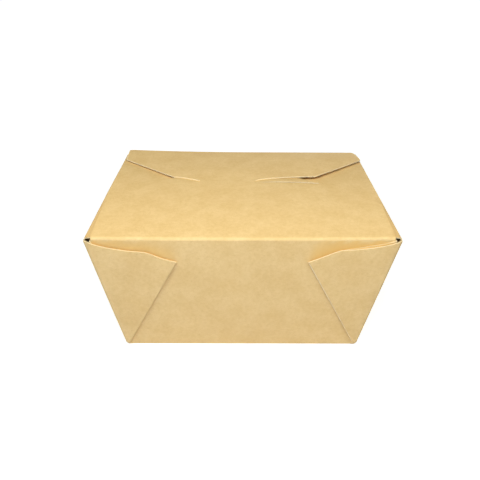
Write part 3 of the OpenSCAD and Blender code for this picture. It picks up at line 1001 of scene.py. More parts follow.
@dataclass
class Carton:
    """Base, walls, web corners, front flap and end flaps, folded from one sheet."""

    sizes: BoxSizes
    fold: FoldFinish = FoldFinish()
    row_count: int = 32
    wall_count: int = 20
    # Painted shade behind the webs' cut edges, stronger and reaching higher on the right
    left_web_shade: WebShade = WebShade(depth=0.8, fade_above=5.0)
    right_web_shade: WebShade = WebShade(depth=1.0, fade_above=8.0)
    front_flap: FrontFlap = field(init=False)
    left_shares: Array = field(init=False)
    right_shares: Array = field(init=False)

    def __post_init__(self) -> None:
        """Places the walls' columns so that some pass the ends of the cut and of the foot's step."""
        s = self.sizes
        self.front_flap = FrontFlap(s, self.fold)
        even = np.linspace(0.0, s.flap_share, self.wall_count + 1)[1:]
        step = s.step_x / s.side_fold_x(s.pleat_h)
        cut, slot = self.front_flap.cut_shares()
        self.left_shares = move_nearest(even, [cut, step])
        self.right_shares = move_nearest(even, [slot, step])

    def quarter(self, rows: Array, at_right: bool, at_front: bool) -> list[Column]:
        """Lays out a quarter of the walls. The blank turns by half to give the rear corners.

        Args:
            rows: Places of the rows, as shares of the height.
            at_right: Whether the quarter is at the right end.
            at_front: Whether its wall is the front one.

        Returns:
            The columns, from beside the wall's middle to beside the end wall's middle.
        """
        s = self.sizes
        rim = s.front_rim if at_front else s.seam_z
        shares = self.right_shares if at_right and at_front else self.left_shares
        right_cut = at_right == at_front
        return Quarter(s, self.fold, rim, shares, rows, right_cut).placed(at_right, at_front)

    def middle_column(self, x: int, y: int, rows: Array) -> Column:
        """Lays out the column in the middle of a wall.

        Args:
            x: -1 or 1 for the left or the right end wall, or 0.
            y: -1 or 1 for the front or the rear wall, or 0.
            rows: Places of the rows, as shares of the height.

        Returns:
            The column.
        """
        s = self.sizes
        rim = {-1: s.front_rim, 0: s.end_rim, 1: s.seam_z}[y]
        z = mix(s.pleat_h, rim, rows)
        points = np.stack([x * s.end_x(z), y * s.wall_y(z), z], axis=1)
        points[:, 0] += s.end_shift(*points.T)
        return Column(points, turn_share=float(abs(x)))

    def ring(self, rows: Array) -> list[Column]:
        """Lays out the walls.

        Args:
            rows: Places of the rows, as shares of the height.

        Returns:
            The columns, anticlockwise from the middle of the front wall.
        """
        return (
            [self.middle_column(0, -1, rows)]
            + self.quarter(rows, at_right=True, at_front=True)
            + [self.middle_column(1, 0, rows)]
            + self.quarter(rows, at_right=True, at_front=False)[::-1]
            + [self.middle_column(0, 1, rows)]
            + self.quarter(rows, at_right=False, at_front=False)
            + [self.middle_column(-1, 0, rows)]
            + self.quarter(rows, at_right=False, at_front=True)[::-1]
        )

    def foot_grid(self, ring: list[Column]) -> tuple[Array, Array]:
        """Folds the walls under the base.

        Args:
            ring: The walls' columns.

        Returns:
            The grid of the folds, from the base up, and its crease marks.
        """
        s = self.sizes
        columns = [c for c in ring if c.in_foot]
        start = np.array([c.points[0] for c in columns])
        ear = np.array([c.ear for c in columns])
        radius = mix(s.wall_fold_r, s.end_fold_r, np.array([c.turn_share for c in columns]))
        half = s.board / 2
        rows, marks = [], []
        for turn in np.radians(np.linspace(90, 0, self.fold.foot_steps + 1)):
            z = radius - (radius - half) * math.sin(turn)
            in_x = (s.end_fold_r - half) * (1 - math.cos(turn))
            in_y = (s.wall_fold_r - half) * (1 - math.cos(turn))
            out = (z - half) / (s.pleat_h - half)
            x = start[:, 0] * (s.end_x(z) - in_x) / s.end_x(s.pleat_h)
            y = (start[:, 1] - ear * (1 - out)) * (s.wall_y(z) - in_y) / s.wall_y(s.pleat_h)
            rows.append(np.stack([x, y, z], axis=1))
            marks.append(np.full(len(columns), self.fold.wear_and_highlight * math.sin(2 * turn)))
        rows.append(start)
        marks.append(np.zeros(len(columns)))
        return np.array(rows), np.array(marks)

    def add_base(self, sheet: Sheet, row: Array) -> None:
        """Closes the underside with strips from front to rear and one wide face at each end.

        Args:
            sheet: The sheet to add to.
            row: The base's rim, anticlockwise from the middle of the front.
        """
        n = len(row)
        half = n // 2
        end = int(np.argmax(row[:, 0] > row[:, 0].max() - NEAR))
        right: list[tuple[int, ...]] = [(half - i, half - i - 1, i + 1, i) for i in range(end - 1)]
        right.append(tuple(range(half - end + 1, end - 2, -1)))
        left = [tuple((n - i) % n for i in reversed(face)) for face in right]
        sheet.add_faces(row, right + left)

    def shelter(self, column: Column) -> Array:
        """Works out how much painted shade a column's points get behind the cut edge of a web.

        Args:
            column: A column of the walls.

        Returns:
            Their marks.
        """
        x, z = column.points[:, 0], column.points[:, 2]
        right = bool(x[0] > 0)
        shelter = self.right_web_shade if right else self.left_web_shade
        return column.behind_web * shelter.at(x, z - self.sizes.edge_z(x, right))

    def add_flaps(self, sheet: Sheet, ring: list[Column]) -> None:
        """Folds the front flap and the two end flaps over from the walls.

        Args:
            sheet: The sheet to add to.
            ring: The walls' columns.
        """
        tops = np.array([c.points[-1] for c in ring])
        right, left = len(self.right_shares), len(self.left_shares)
        shares = np.concatenate([-self.left_shares[::-1], [0.0], self.right_shares])
        self.front_flap.add_to(sheet, tops[np.arange(-left, right + 1)], shares)
        reach = 1 + len(Quarter.end_shares)
        for middle, column in enumerate(ring):
            if abs(column.points[0, 1]) < NEAR:
                rim = tops[middle - reach : middle + reach + 1]
                EndFlap(self.sizes, self.fold).add_to(sheet, rim)

    def build(self, materials: dict[BoardSide, bpy.types.Material]) -> bpy.types.Object:
        """Builds the carton and puts it in the CAD node's place.

        Args:
            materials: The finish of each side of the board.

        Returns:
            The carton's mesh object.
        """
        sheet = Sheet("folded_carton", self.sizes.board)
        ring = self.ring(np.linspace(0, 1, self.row_count))
        grid = np.stack([c.points for c in ring], axis=1)
        # Crease marks are wear with a painted highlight; the web marks are painted shade
        crease = np.array([c.crease for c in ring])
        shelter = np.stack([self.shelter(c) for c in ring], axis=1)
        sheet.add_grid(grid, {Mark.WEAR_AND_HIGHLIGHT: crease, Mark.WEB_SHADE: shelter}, closed=True)
        foot, marks = self.foot_grid(ring)
        sheet.add_grid(foot, {Mark.WEAR_AND_HIGHLIGHT: marks}, closed=True)
        self.add_base(sheet, foot[0])
        self.add_flaps(sheet, ring)
        obj = sheet.build(materials)
        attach(obj, "carton")
        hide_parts("carton")
        return obj


@dataclass
class RearLid:
    """Rear lid flap with its crease and the tongue that locks the lid.

    Its outline is given by the distance from the hinge line. The sides run past a rounded corner
    and along a diagonal to two knees, and the tongue bends down from the front edge between them.
    """

    sizes: BoxSizes
    # Fold at the rear wall: radius of the board's middle, its rows, the rows on the wall as shares
    # of the way up to it, and the stretch that bends
    fold_m: float = 0.65
    fold_steps: int = 12
    wall_stops: tuple[float, ...] = (0.0, 0.35, 0.7)
    bend_below: float = 1.3
    bend_inward: float = 1.1
    # Columns, with one more close to each side edge for its lighter edge: wear and a painted highlight
    column_count: int = 44
    edge_share: float = 0.005
    edge_wear_and_highlight: float = 1.0
    # Side edges, from the root past the corner to the knee
    root_left: float = -61.9
    root_right: float = 62.9
    knee_left: tuple[float, float] = (-35.2, 36.3)
    knee_right: tuple[float, float] = (38.0, 36.8)
    left_stops: tuple[float, ...] = (0.0, 0.4, 0.9, 3.0, 9.0, 12.4, 13.0, 13.6)
    left_edge: tuple[float, ...] = (-63.2, -63.7, -63.8, -63.75, -63.7, -63.5, -62.9)
    right_stops: tuple[float, ...] = (0.0, 0.5, 1.0, 2.8, 4.7, 9.0, 13.3, 14.0, 14.7)
    right_edge: tuple[float, ...] = (63.5, 63.9, 64.45, 64.9, 65.35, 65.75, 65.7, 65.1)
    # Front edge on both sides of the tongue, whose two ends have the last and the first distance
    front_left: tuple[float, ...] = (-33.3, -31.3, -28.9, -26.5, -23.8)
    front_right: tuple[float, ...] = (9.4, 14.5, 22.3, 30.0)
    front_left_q: tuple[float, ...] = (36.4, 36.7, 37.5, 38.7, 39.8, 40.5)
    front_right_q: tuple[float, ...] = (39.6, 38.8, 37.9, 37.2, 37.1)
    # Rows from the fold to near the knees, and shares of the way on to the front edge
    body_stops: tuple[float, ...] = (
        1.0, 1.7, 2.8, 4.7, 6.8, 9.0, 11.0, 12.4, 13.0, 13.5,
        14.0, 14.7, 16.2, 18.5, 21, 24, 27, 30, 32.5, 34.5,
    )
    front_stops: tuple[float, ...] = (0.3, 0.55, 0.75, 0.9, 1.0)
    # Tongue: radius and rows of its bend, and its width at depths down to its end
    tongue_bend: float = 0.75
    tongue_steps: int = 8
    tongue_depths: tuple[float, ...] = (0.25, 0.45, 0.62, 0.78, 0.9, 0.97, 1.0)
    tongue_widths: tuple[float, ...] = (1.0, 1.0, 0.99, 0.965, 0.91, 0.85, 0.8)
    # Warps: sag to the front, dip at the tongue, lift of the sides and bulge over the rear wall
    sag: float = 0.15
    dip: float = 0.45
    dip_start: float = 26.0
    dip_run: float = 14.0
    left_lift: float = 0.08
    left_start: float = 31.0
    left_run: float = 24.0
    right_lift: float = 0.7
    right_start: float = 6.0
    right_run: float = 30.0
    lift_run: float = 13.0
    rear_bulge: float = 1.15
    bulge_start: float = 5.0
    bulge_half: float = 66.0
    bulge_reach: float = 9.5
    # Shares of the lift that the wall's top row and the fold's first row take
    wall_lift: float = 0.5
    fold_lift: float = 0.65

    @property
    def middle_z(self) -> float:
        """Height of the board's middle at the hinge line."""
        return self.sizes.hinge_z - self.sizes.board / 2

    def side_x(self, q: float, right: bool) -> float:
        """Finds a side edge.

        Args:
            q: Distance from the hinge line.
            right: Whether it is the right edge.

        Returns:
            The edge's place along x.
        """
        if right:
            stops = (*self.right_stops, self.knee_right[1])
            edge = (self.root_right, *self.right_edge, self.knee_right[0])
        else:
            stops = (*self.left_stops, self.knee_left[1])
            edge = (self.root_left, *self.left_edge, self.knee_left[0])
        return float(np.interp(q, stops, edge))

    def knee_x(self, t: Array) -> Array:
        """Returns the places of the columns, from knee to knee, at the shares t."""
        return mix(self.knee_right[0], self.knee_left[0], t)

    def front_edge(self, x: Array) -> Array:
        """Finds the front edge, with the line at which the tongue bends down.

        Args:
            x: Places along the edge.

        Returns:
            Its distance from the hinge line.
        """
        s = self.sizes
        tongue = (-s.tongue_left, s.tongue_right)
        places = (self.knee_left[0], *self.front_left, *tongue, *self.front_right, self.knee_right[0])
        reach = (self.knee_left[1], *self.front_left_q, *self.front_right_q, self.knee_right[1])
        return np.interp(x, places, reach)

    def top_z(self, x: Array, q: Array) -> Array:
        """Finds the height of the board's middle, with its warps.

        Args:
            x: Places from left to right.
            q: Their distances from the hinge line.

        Returns:
            The heights.
        """
        s = self.sizes
        away = smooth(q / self.lift_run)
        right = self.right_lift * smooth((x - self.right_start) / self.right_run)
        left = self.left_lift * smooth((-x - self.left_start) / self.left_run)
        beside = np.square(np.clip(self.bulge_start - x, 0, None) / self.bulge_half)
        bulge = self.rear_bulge * beside * bell(q / self.bulge_reach)
        dip = self.dip * s.tongue_span(x) * smooth((q - self.dip_start) / self.dip_run)
        return self.middle_z - self.sag * q / s.tongue_reach + (right + left) * away + bulge - dip

    def columns(self) -> Array:
        """Places the columns so that two of them pass the ends of the tongue.

        Returns:
            Their shares of the way from the right knee to the left one.
        """
        right, left = self.knee_right[0], self.knee_left[0]
        ends = (self.sizes.tongue_right, -self.sizes.tongue_left)
        even = np.linspace(0, 1, self.column_count)
        inner = move_nearest(even, [(x - right) / (left - right) for x in ends])
        return np.sort(np.append(inner, [self.edge_share, 1 - self.edge_share]))

    def body_rows(self, t: Array) -> list[Array]:
        """Lays out the flap, from its fold to its front edge.

        Args:
            t: The columns' shares.

        Returns:
            The rows.
        """
        rows = []
        for q in self.body_stops:
            x = mix(self.side_x(q, True), self.side_x(q, False), t)
            rows.append(np.stack([x, np.full(len(t), q), 0 * t], axis=1))
        last = rows[-1]
        knee_x = self.knee_x(t)
        for share in self.front_stops:
            x = mix(last[:, 0], knee_x, share)
            q = mix(last[:, 1], self.front_edge(knee_x), share)
            rows.append(np.stack([x, q, 0 * t], axis=1))
        for row in rows:
            row[:, 2] = self.top_z(row[:, 0], row[:, 1])
            row[:, 1] = self.sizes.hinge_y - row[:, 1]
        return rows

    def crease_rows(self, first: Array) -> list[Array]:
        """Lays out the strip of the rear wall and the fold over its top.

        Args:
            first: The flap's first row after the fold.

        Returns:
            The rows, from the seam on the wall to the end of the fold.
        """
        s = self.sizes
        slope = s.wall_slope
        rim = self.middle_z - self.fold_m * (1 + math.sin(slope))
        lift = first[:, 2] - self.middle_z
        spread = (first[:, 0] - first[:, 0].min()) / np.ptp(first[:, 0])
        root_x = mix(self.root_left, self.root_right, spread)
        seam_half = s.flap_share * s.side_fold_x(s.seam_z)
        seam_x = mix(-seam_half, seam_half, spread)
        rows = []
        for share in self.wall_stops:
            z = mix(s.seam_z, rim, share)
            x = mix(seam_x, root_x, share)
            rows.append(np.stack([x, s.wall_y(z) + 0 * x, z + lift * share * self.wall_lift], axis=1))
        for share in np.linspace(0, 1, self.fold_steps + 1):
            turn = share * (math.pi / 2 + slope) - slope
            y = s.wall_y(rim) - self.fold_m * (math.cos(slope) - math.cos(turn))
            z = rim + self.fold_m * (math.sin(turn) + math.sin(slope))
            rise = lift * mix(self.fold_lift, 1.0, share)
            rows.append(np.stack([root_x, y + 0 * root_x, z + rise], axis=1))
        return rows

    def tongue_rows(self, t: Array) -> list[Array]:
        """Lays out the tongue, on the path that it swings along about the hinge line.

        Args:
            t: The columns' shares.

        Returns:
            The rows, from the bend down to the tongue's end.
        """
        s = self.sizes
        x = self.knee_x(t)
        reach = s.tongue_q(x)
        top = self.top_z(x, reach)
        rows = []
        for turn in np.linspace(0, math.pi / 2, self.tongue_steps + 1):
            q = reach - self.tongue_bend * (1 - math.sin(turn))
            z = top - self.tongue_bend * (1 - math.cos(turn))
            rows.append(np.stack([x, s.hinge_y - q, z], axis=1))
        middle = (s.tongue_right - s.tongue_left) / 2
        for depth, width in zip(self.tongue_depths, self.tongue_widths):
            z = top - mix(self.tongue_bend, s.tongue_h, depth)
            q = np.sqrt(np.square(reach) - np.square(s.hinge_z - z))
            rows.append(np.stack([middle + (x - middle) * width, s.hinge_y - q, z], axis=1))
        return rows

    def build(self, materials: dict[BoardSide, bpy.types.Material]) -> bpy.types.Object:
        """Builds the flap and bends it from the rear wall to the lid.

        Args:
            materials: The finish of each side of the board.

        Returns:
            The flap's mesh object.
        """
        s = self.sizes
        sheet = Sheet("rear_lid_board", s.board)
        t = self.columns()
        body = self.body_rows(t)
        crease = self.crease_rows(body[0])
        grid = np.array(crease + body + self.tongue_rows(t))
        edge = len(crease) + len(body) - 1
        knee_x = self.knee_x(t)
        first = int(np.argmin(np.abs(knee_x - s.tongue_right)))
        last = int(np.argmin(np.abs(knee_x + s.tongue_left)))
        # Side edges, and the front edge beside the tongue, lightened: wear and a painted highlight of the
        # lit cut edge
        wear_and_highlight = np.zeros(grid.shape[:2])
        wear_and_highlight[len(crease) : edge + 1, [0, -1]] = self.edge_wear_and_highlight
        wear_and_highlight[edge, :first] = self.edge_wear_and_highlight
        wear_and_highlight[edge, last + 1 :] = self.edge_wear_and_highlight
        sheet.add_grid(grid, {Mark.WEAR_AND_HIGHLIGHT: wear_and_highlight}, keep=lambda r, c: r < edge or first <= c < last)
        obj = sheet.build(materials)
        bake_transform(obj)
        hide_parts("rear_lid_flap")
        return obj


@dataclass(frozen=True)
class Noise:
    """A noise texture: its scale over its coordinates, its detail and its roughness."""

    scale: float
    detail: float
    rough: float


@dataclass(frozen=True)
class Strand:
    """One lay of fibres: how far it is turned, and its scales along and across the fibres."""

    turn: float
    scale: Point


class PulpGroup:
    """Shader group of unbleached board: its clouds and fibres, and the tones of its marks.

    The marks paint shade: a deeper tone on the turned end flaps and a warmer, darker one behind
    a web's cut edge. They also lighten the board along creases and edges, for wear and a painted highlight.
    """

    COLOURS = ("Board Colour", "Cloud Colour", "Fibre And Shade Colour", "Crease Wear And Highlight Colour", "Web Shade Colour")
    LEVELS = ("Cloud Share", "Fibre Share", "Roughness Level")
    FINE = Noise(620.0, 4.0, 0.62)
    BROAD = Noise(95.0, 3.0, 0.55)
    GRAIN = Noise(5200.0, 3.0, 0.6)
    FIBRE = Noise(1.0, 2.0, 0.5)
    STRANDS = (
        Strand(0.4, (5200.0, 700.0, 2600.0)),
        Strand(1.5, (4600.0, 650.0, 2400.0)),
        Strand(2.6, (700.0, 5200.0, 2600.0)),
    )
    STRAND_TILT = (0.6, 0.8, 1.0)
    FINE_RANGE = (0.3, 0.72)
    BROAD_RANGE = (0.3, 0.7)
    FIBRE_RANGE = (0.6, 0.74)
    WEAR_AND_HIGHLIGHT_RANGE = (0.2, 0.55)
    SHADE_SHARE = 0.5
    WEB_SHADE_SHARE = 0.75
    FIBRE_RELIEF = 0.5
    ROUGHNESS_SPREAD = 0.08

    def __init__(self) -> None:
        """Makes the group with its named sockets."""
        self.tree = bpy.data.node_groups.new("kraft_pulp", "ShaderNodeTree")
        for name in self.COLOURS:
            self.tree.interface.new_socket(name, in_out="INPUT", socket_type="NodeSocketColor")
        for name in self.LEVELS:
            self.tree.interface.new_socket(name, in_out="INPUT", socket_type="NodeSocketFloat")
        self.tree.interface.new_socket("Colour", in_out="OUTPUT", socket_type="NodeSocketColor")
        for name in ("Roughness", "Height"):
            self.tree.interface.new_socket(name, in_out="OUTPUT", socket_type="NodeSocketFloat")
        self.given = self.tree.nodes.new("NodeGroupInput").outputs

    def noise(self, vector: Socket, noise: Noise) -> Socket:
        """Adds a noise texture.

        Args:
            vector: Coordinates.
            noise: The texture's values.

        Returns:
            Its value.
        """
        node = self.tree.nodes.new("ShaderNodeTexNoise")
        node.inputs["Scale"].default_value = noise.scale
        node.inputs["Detail"].default_value = noise.detail
        node.inputs["Roughness"].default_value = noise.rough
        self.tree.links.new(vector, node.inputs["Vector"])
        return node.outputs["Fac"]

    def stretched(self, vector: Socket, strand: Strand) -> Socket:
        """Adds a turned and stretched copy of the coordinates.

        Args:
            vector: Coordinates.
            strand: The lay of fibres that they are for.

        Returns:
            The new coordinates.
        """
        node = self.tree.nodes.new("ShaderNodeMapping")
        node.inputs["Rotation"].default_value = [strand.turn * tilt for tilt in self.STRAND_TILT]
        node.inputs["Scale"].default_value = strand.scale
        self.tree.links.new(vector, node.inputs["Vector"])
        return node.outputs["Vector"]

    def ranged(self, value: Socket, limits: tuple[float, float]) -> Socket:
        """Adds a smooth step between two limits.

        Args:
            value: The value to step.
            limits: Where the step starts and ends.

        Returns:
            The stepped value, from 0 to 1.
        """
        node = self.tree.nodes.new("ShaderNodeMapRange")
        node.interpolation_type = "SMOOTHSTEP"
        node.inputs["From Min"].default_value, node.inputs["From Max"].default_value = limits
        self.tree.links.new(value, node.inputs["Value"])
        return node.outputs["Result"]

    def maths(self, operation: str, a: Socket, b: Socket | float) -> Socket:
        """Adds a maths node.

        Args:
            operation: Blender's name of the operation.
            a: The first value.
            b: The second value, or a number.

        Returns:
            The result.
        """
        node = self.tree.nodes.new("ShaderNodeMath")
        node.operation = operation
        self.tree.links.new(a, node.inputs[0])
        if isinstance(b, float):
            node.inputs[1].default_value = b
        else:
            self.tree.links.new(b, node.inputs[1])
        return node.outputs["Value"]

    def mark(self, mark: Mark) -> Socket:
        """Adds a mark of the sheets.

        Args:
            mark: The mark.

        Returns:
            Its value.
        """
        node = self.tree.nodes.new("ShaderNodeAttribute")
        node.attribute_name = mark.value
        return node.outputs["Fac"]

    def blend(self, share: Socket, a: Socket, b: Socket) -> Socket:
        """Adds a mix of two colours.

        Args:
            share: Share of the second colour.
            a: The first colour.
            b: The second colour.

        Returns:
            The mixed colour.
        """
        node = self.tree.nodes.new("ShaderNodeMix")
        node.data_type = "RGBA"
        self.tree.links.new(share, node.inputs["Factor"])
        self.tree.links.new(a, node.inputs["A"])
        self.tree.links.new(b, node.inputs["B"])
        return node.outputs["Result"]

    def build(self) -> bpy.types.NodeTree:
        """Fills the group.

        Returns:
            The finished group.
        """
        given, maths = self.given, self.maths
        place = self.tree.nodes.new("ShaderNodeTexCoord").outputs["Object"]
        fine = self.noise(place, self.FINE)
        broad = self.ranged(self.noise(place, self.BROAD), self.BROAD_RANGE)
        cloud = maths("MULTIPLY", maths("ADD", self.ranged(fine, self.FINE_RANGE), broad), 0.5)
        lays = []
        for strand in self.STRANDS:
            lay = self.noise(self.stretched(place, strand), self.FIBRE)
            lays.append(self.ranged(lay, self.FIBRE_RANGE))
        fibre = maths("MAXIMUM", maths("MAXIMUM", lays[0], lays[1]), lays[2])
        worn_and_highlighted = self.ranged(fine, self.WEAR_AND_HIGHLIGHT_RANGE)
        tones = (
            ("Cloud Colour", maths("MULTIPLY", cloud, given["Cloud Share"])),
            ("Fibre And Shade Colour", maths("MULTIPLY", fibre, given["Fibre Share"])),
            # Painted shade: the turned end flaps mixed towards the fibre tone
            ("Fibre And Shade Colour", maths("MULTIPLY", self.mark(Mark.SHADE), self.SHADE_SHARE)),
            # Painted shade behind a web's cut edge
            ("Web Shade Colour", maths("MULTIPLY", self.mark(Mark.WEB_SHADE), self.WEB_SHADE_SHARE)),
            # Crease wear with a painted highlight
            ("Crease Wear And Highlight Colour", maths("MULTIPLY", self.mark(Mark.WEAR_AND_HIGHLIGHT), worn_and_highlighted)),
        )
        colour = given["Board Colour"]
        for name, share in tones:
            colour = self.blend(share, colour, given[name])
        relief = maths("MULTIPLY", fibre, self.FIBRE_RELIEF)
        spread = maths("MULTIPLY", maths("SUBTRACT", cloud, 0.5), self.ROUGHNESS_SPREAD)
        results = {
            "Colour": colour,
            "Roughness": maths("ADD", spread, given["Roughness Level"]),
            "Height": maths("ADD", relief, self.noise(place, self.GRAIN)),
        }
        outputs = self.tree.nodes.new("NodeGroupOutput").inputs
        for name, value in results.items():
            self.tree.links.new(value, outputs[name])
        return self.tree


@dataclass(frozen=True)
class BoardFinish:
    """Uncoated kraft board: its tones, and how strongly its clouds and fibres show."""

    name: str
    colour: Rgb
    cloud: Rgb
    # The fibre tone also serves the painted shade of the end flaps, the crease tone wear with a painted
    # highlight, and the web shade tone painted shade
    fibre: Rgb
    crease: Rgb
    web_shade_colour: Rgb
    roughness: float = 0.82
    gloss: float = 0.3
    ior: float = 1.45
    cloud_share: float = 0.8
    fibre_share: float = 0.4
    relief_mm: float = 0.02

    def build(self, pulp: bpy.types.NodeTree) -> bpy.types.Material:
        """Makes the material.

        Args:
            pulp: The shared group of clouds, fibres and marks.

        Returns:
            The finished material.
        """
        mat = bpy.data.materials.new(self.name)
        mat.use_nodes = True
        tree = mat.node_tree
        shader = tree.nodes["Principled BSDF"]
        shader.inputs["Specular IOR Level"].default_value = self.gloss
        shader.inputs["IOR"].default_value = self.ior
        group = tree.nodes.new("ShaderNodeGroup")
        group.node_tree = pulp
        tones = (self.colour, self.cloud, self.fibre, self.crease, self.web_shade_colour)
        for socket, tone in zip(PulpGroup.COLOURS, tones):
            group.inputs[socket].default_value = (*tone, 1.0)
        levels = (self.cloud_share, self.fibre_share, self.roughness)
        for socket, level in zip(PulpGroup.LEVELS, levels):
            group.inputs[socket].default_value = level
        bump = tree.nodes.new("ShaderNodeBump")
        bump.inputs["Strength"].default_value = 1.0
        bump.inputs["Distance"].default_value = self.relief_mm * MM
        link = tree.links.new
        link(group.outputs["Colour"], shader.inputs["Base Color"])
        link(group.outputs["Roughness"], shader.inputs["Roughness"])
        link(group.outputs["Height"], bump.inputs["Height"])
        link(bump.outputs["Normal"], shader.inputs["Normal"])
        return mat


@dataclass(frozen=True)
class Lamp:
    """A soft area lamp. Its places and sizes are in metres and its power is in watts."""

    name: str
    place: Point
    aim: Point
    size: tuple[float, float]
    power: float
    colour: Rgb

    def build(self) -> bpy.types.Object:
        """Makes the lamp and turns it towards its aim.

        Returns:
            The lamp's object.
        """
        data = bpy.data.lights.new(self.name, "AREA")
        data.shape = "ELLIPSE"
        data.size, data.size_y = self.size
        data.energy = self.power
        data.color = self.colour
        obj = bpy.data.objects.new(self.name, data)
        bpy.context.scene.collection.objects.link(obj)
        obj.location = self.place
        towards = Vector(self.aim) - Vector(self.place)
        obj.rotation_euler = towards.to_track_quat("-Z", "Y").to_euler()
        return obj


@dataclass(frozen=True)
class Studio:
    """White floor and surroundings, soft lamps and the camera at the photograph's angle.

    The floor glows only where it is seen directly: dimly round the box, where the shadow shows,
    and up to white further out. Lengths are in metres and angles in radians.
    """

    world_level: float = 0.03
    floor_half: float = 3.0
    floor_z: float = -0.00005
    floor_colour: Rgb = (0.75, 0.75, 0.75)
    floor_glow: float = 0.62
    glow_start: float = 0.12
    glow_end: float = 0.5
    lamps: tuple[Lamp, ...] = (
        Lamp("key_lamp", (-0.015, -0.20, 0.30), (0.0, -0.03, 0.05), (0.5, 0.16), 1.48, (1.0, 0.99, 0.86)),
        Lamp("front_lamp", (-0.25, -0.75, 0.22), (0.0, -0.04, 0.03), (0.5, 0.5), 1.65, (0.25, 0.45, 1.0)),
        Lamp("rear_lamp", (0.12, 0.75, 0.13), (0.0, 0.05, 0.03), (0.5, 0.3), 2.4, (0.95, 0.97, 1.0)),
        Lamp("left_lamp", (-0.62, 0.42, 0.13), (-0.06, 0.0, 0.03), (0.4, 0.3), 0.8, (0.97, 0.98, 1.0)),
        Lamp("right_lamp", (0.62, 0.42, 0.13), (0.06, 0.0, 0.03), (0.4, 0.3), 0.7, (0.97, 0.98, 1.0)),
    )
    # Camera: focal length in pixels of the photograph's frame, sensor, angles, place and clipping
    focal_px: float = 523.37
    frame_px: float = 480.0
    sensor_mm: float = 36.0
    pitch: float = 0.521878
    roll: float = 0.005847
    yaw: float = 0.005736
    eye_mm: Point = (-2.125, -236.62, 170.48)
    clip_start: float = 0.005
    clip_end: float = 20.0

    @staticmethod
    def seen_directly(tree: bpy.types.NodeTree) -> Socket:
        """Adds a mask of the rays that show the background itself.

        Args:
            tree: Nodes of the world or of the floor's material.

        Returns:
            1 for camera, glossy and transmission rays, and 0 for the light on the object.
        """
        path = tree.nodes.new("ShaderNodeLightPath")
        seen = path.outputs["Is Camera Ray"]
        for ray in ("Is Glossy Ray", "Is Transmission Ray"):
            either = tree.nodes.new("ShaderNodeMath")
            either.operation = "MAXIMUM"
            tree.links.new(seen, either.inputs[0])
            tree.links.new(path.outputs[ray], either.inputs[1])
            seen = either.outputs["Value"]
        return seen

    def add_world(self) -> None:
        """Makes an even white surrounding that shows white behind the object."""
        world = bpy.data.worlds.new("white_room")
        bpy.context.scene.world = world
        world.use_nodes = True
        tree = world.node_tree
        back = tree.nodes["Background"]
        back.inputs["Color"].default_value = WHITE
        level = tree.nodes.new("ShaderNodeMapRange")
        level.inputs["To Min"].default_value = self.world_level
        level.inputs["To Max"].default_value = 1.0
        tree.links.new(self.seen_directly(tree), level.inputs["Value"])
        tree.links.new(level.outputs["Result"], back.inputs["Strength"])

    def floor_material(self) -> bpy.types.Material:
        """Makes the floor's white, which keeps the object's shadow.

        Returns:
            The finished material.
        """
        mat = bpy.data.materials.new("white_floor")
        mat.use_nodes = True
        tree = mat.node_tree
        tree.nodes.remove(tree.nodes["Principled BSDF"])
        shader = tree.nodes.new("ShaderNodeBsdfDiffuse")
        shader.inputs["Color"].default_value = (*self.floor_colour, 1.0)
        place = tree.nodes.new("ShaderNodeTexCoord")
        reach = tree.nodes.new("ShaderNodeVectorMath")
        reach.operation = "LENGTH"
        level = tree.nodes.new("ShaderNodeMapRange")
        level.interpolation_type = "SMOOTHSTEP"
        level.inputs["From Min"].default_value = self.glow_start
        level.inputs["From Max"].default_value = self.glow_end
        level.inputs["To Min"].default_value = self.floor_glow
        level.inputs["To Max"].default_value = 1.0
        share = tree.nodes.new("ShaderNodeMath")
        share.operation = "MULTIPLY"
        glow = tree.nodes.new("ShaderNodeEmission")
        both = tree.nodes.new("ShaderNodeAddShader")
        link = tree.links.new
        link(place.outputs["Object"], reach.inputs[0])
        link(reach.outputs["Value"], level.inputs["Value"])
        link(self.seen_directly(tree), share.inputs[0])
        link(level.outputs["Result"], share.inputs[1])
        link(share.outputs["Value"], glow.inputs["Strength"])
        link(shader.outputs["BSDF"], both.inputs[0])
        link(glow.outputs["Emission"], both.inputs[1])
        link(both.outputs["Shader"], tree.nodes["Material Output"].inputs["Surface"])
        return mat

    def add_floor(self) -> None:
        """Makes the floor."""
        half, z = self.floor_half, self.floor_z
        corners = [(-half, -half, z), (half, -half, z), (half, half, z), (-half, half, z)]
        mesh = bpy.data.meshes.new("floor")
        mesh.from_pydata(corners, [], [(0, 1, 2, 3)])
        mesh.materials.append(self.floor_material())
        floor = bpy.data.objects.new("floor", mesh)
        bpy.context.scene.collection.objects.link(floor)

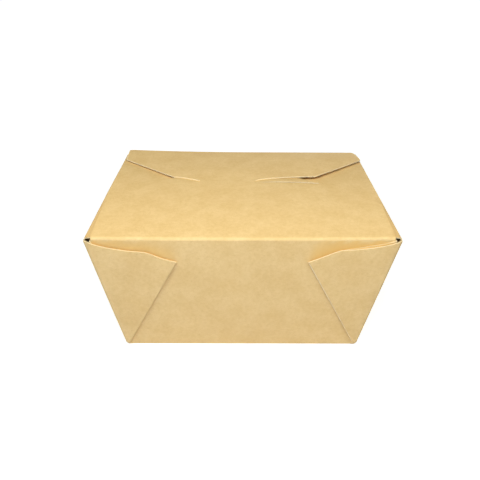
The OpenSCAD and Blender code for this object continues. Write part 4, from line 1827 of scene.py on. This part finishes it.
    def add_camera(self) -> None:
        """Places the camera where the photograph was taken from."""
        data = bpy.data.cameras.new("photo_camera")
        data.sensor_width = self.sensor_mm
        data.sensor_fit = "HORIZONTAL"
        data.lens = self.focal_px * self.sensor_mm / self.frame_px
        data.clip_start = self.clip_start
        data.clip_end = self.clip_end
        level = Vector((math.sin(self.yaw), math.cos(self.yaw), 0.0))
        forward = level * math.cos(self.pitch) - Vector((0.0, 0.0, math.sin(self.pitch)))
        right = Vector((math.cos(self.yaw), -math.sin(self.yaw), 0.0))
        up = right.cross(forward)
        across = right * math.cos(self.roll) + up * math.sin(self.roll)
        above = up * math.cos(self.roll) - right * math.sin(self.roll)
        turn = Matrix((across, above, -forward)).transposed().to_4x4()
        camera = bpy.data.objects.new("photo_camera", data)
        camera.matrix_world = Matrix.Translation(Vector(self.eye_mm) * MM) @ turn
        bpy.context.scene.collection.objects.link(camera)
        bpy.context.scene.camera = camera

    def build(self) -> None:
        """Sets up the whole studio."""
        bpy.context.scene.view_settings.view_transform = "Standard"
        self.add_world()
        self.add_floor()
        self.add_camera()
        for lamp in self.lamps:
            lamp.build()


# Each side's crease tone is for wear with a painted highlight, and its web shade tone is painted shade
FINISHES = {
    BoardSide.OUTSIDE: BoardFinish(
        "kraft_outside",
        colour=(0.80, 0.575, 0.275),
        cloud=(0.69, 0.46, 0.19),
        fibre=(0.57, 0.36, 0.145),
        crease=(0.94, 0.77, 0.50),
        web_shade_colour=(0.77, 0.46, 0.13),
    ),
    BoardSide.INSIDE: BoardFinish(
        "kraft_inside",
        colour=(0.77, 0.56, 0.29),
        cloud=(0.64, 0.43, 0.20),
        fibre=(0.54, 0.35, 0.165),
        crease=(0.84, 0.66, 0.40),
        web_shade_colour=(0.77, 0.46, 0.13),
        roughness=0.7,
    ),
    BoardSide.CUT_EDGE: BoardFinish(
        "kraft_cut_edge",
        colour=(0.79, 0.65, 0.41),
        cloud=(0.70, 0.55, 0.32),
        fibre=(0.63, 0.48, 0.26),
        crease=(0.84, 0.70, 0.44),
        web_shade_colour=(0.60, 0.43, 0.22),
        roughness=0.9,
        gloss=0.15,
        cloud_share=0.6,
    ),
}


def main() -> None:
    """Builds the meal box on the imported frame."""
    logging.basicConfig(level=logging.INFO, format="%(name)s: %(message)s")
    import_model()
    Studio().build()
    pulp = PulpGroup().build()
    materials = {side: finish.build(pulp) for side, finish in FINISHES.items()}
    sizes = BoxSizes()
    for maker in (Carton(sizes), RearLid(sizes)):
        piece = maker.build(materials)
        LOG.info("%s: %d faces", piece.name, len(piece.data.polygons))


if __name__ == "__main__":
    main()
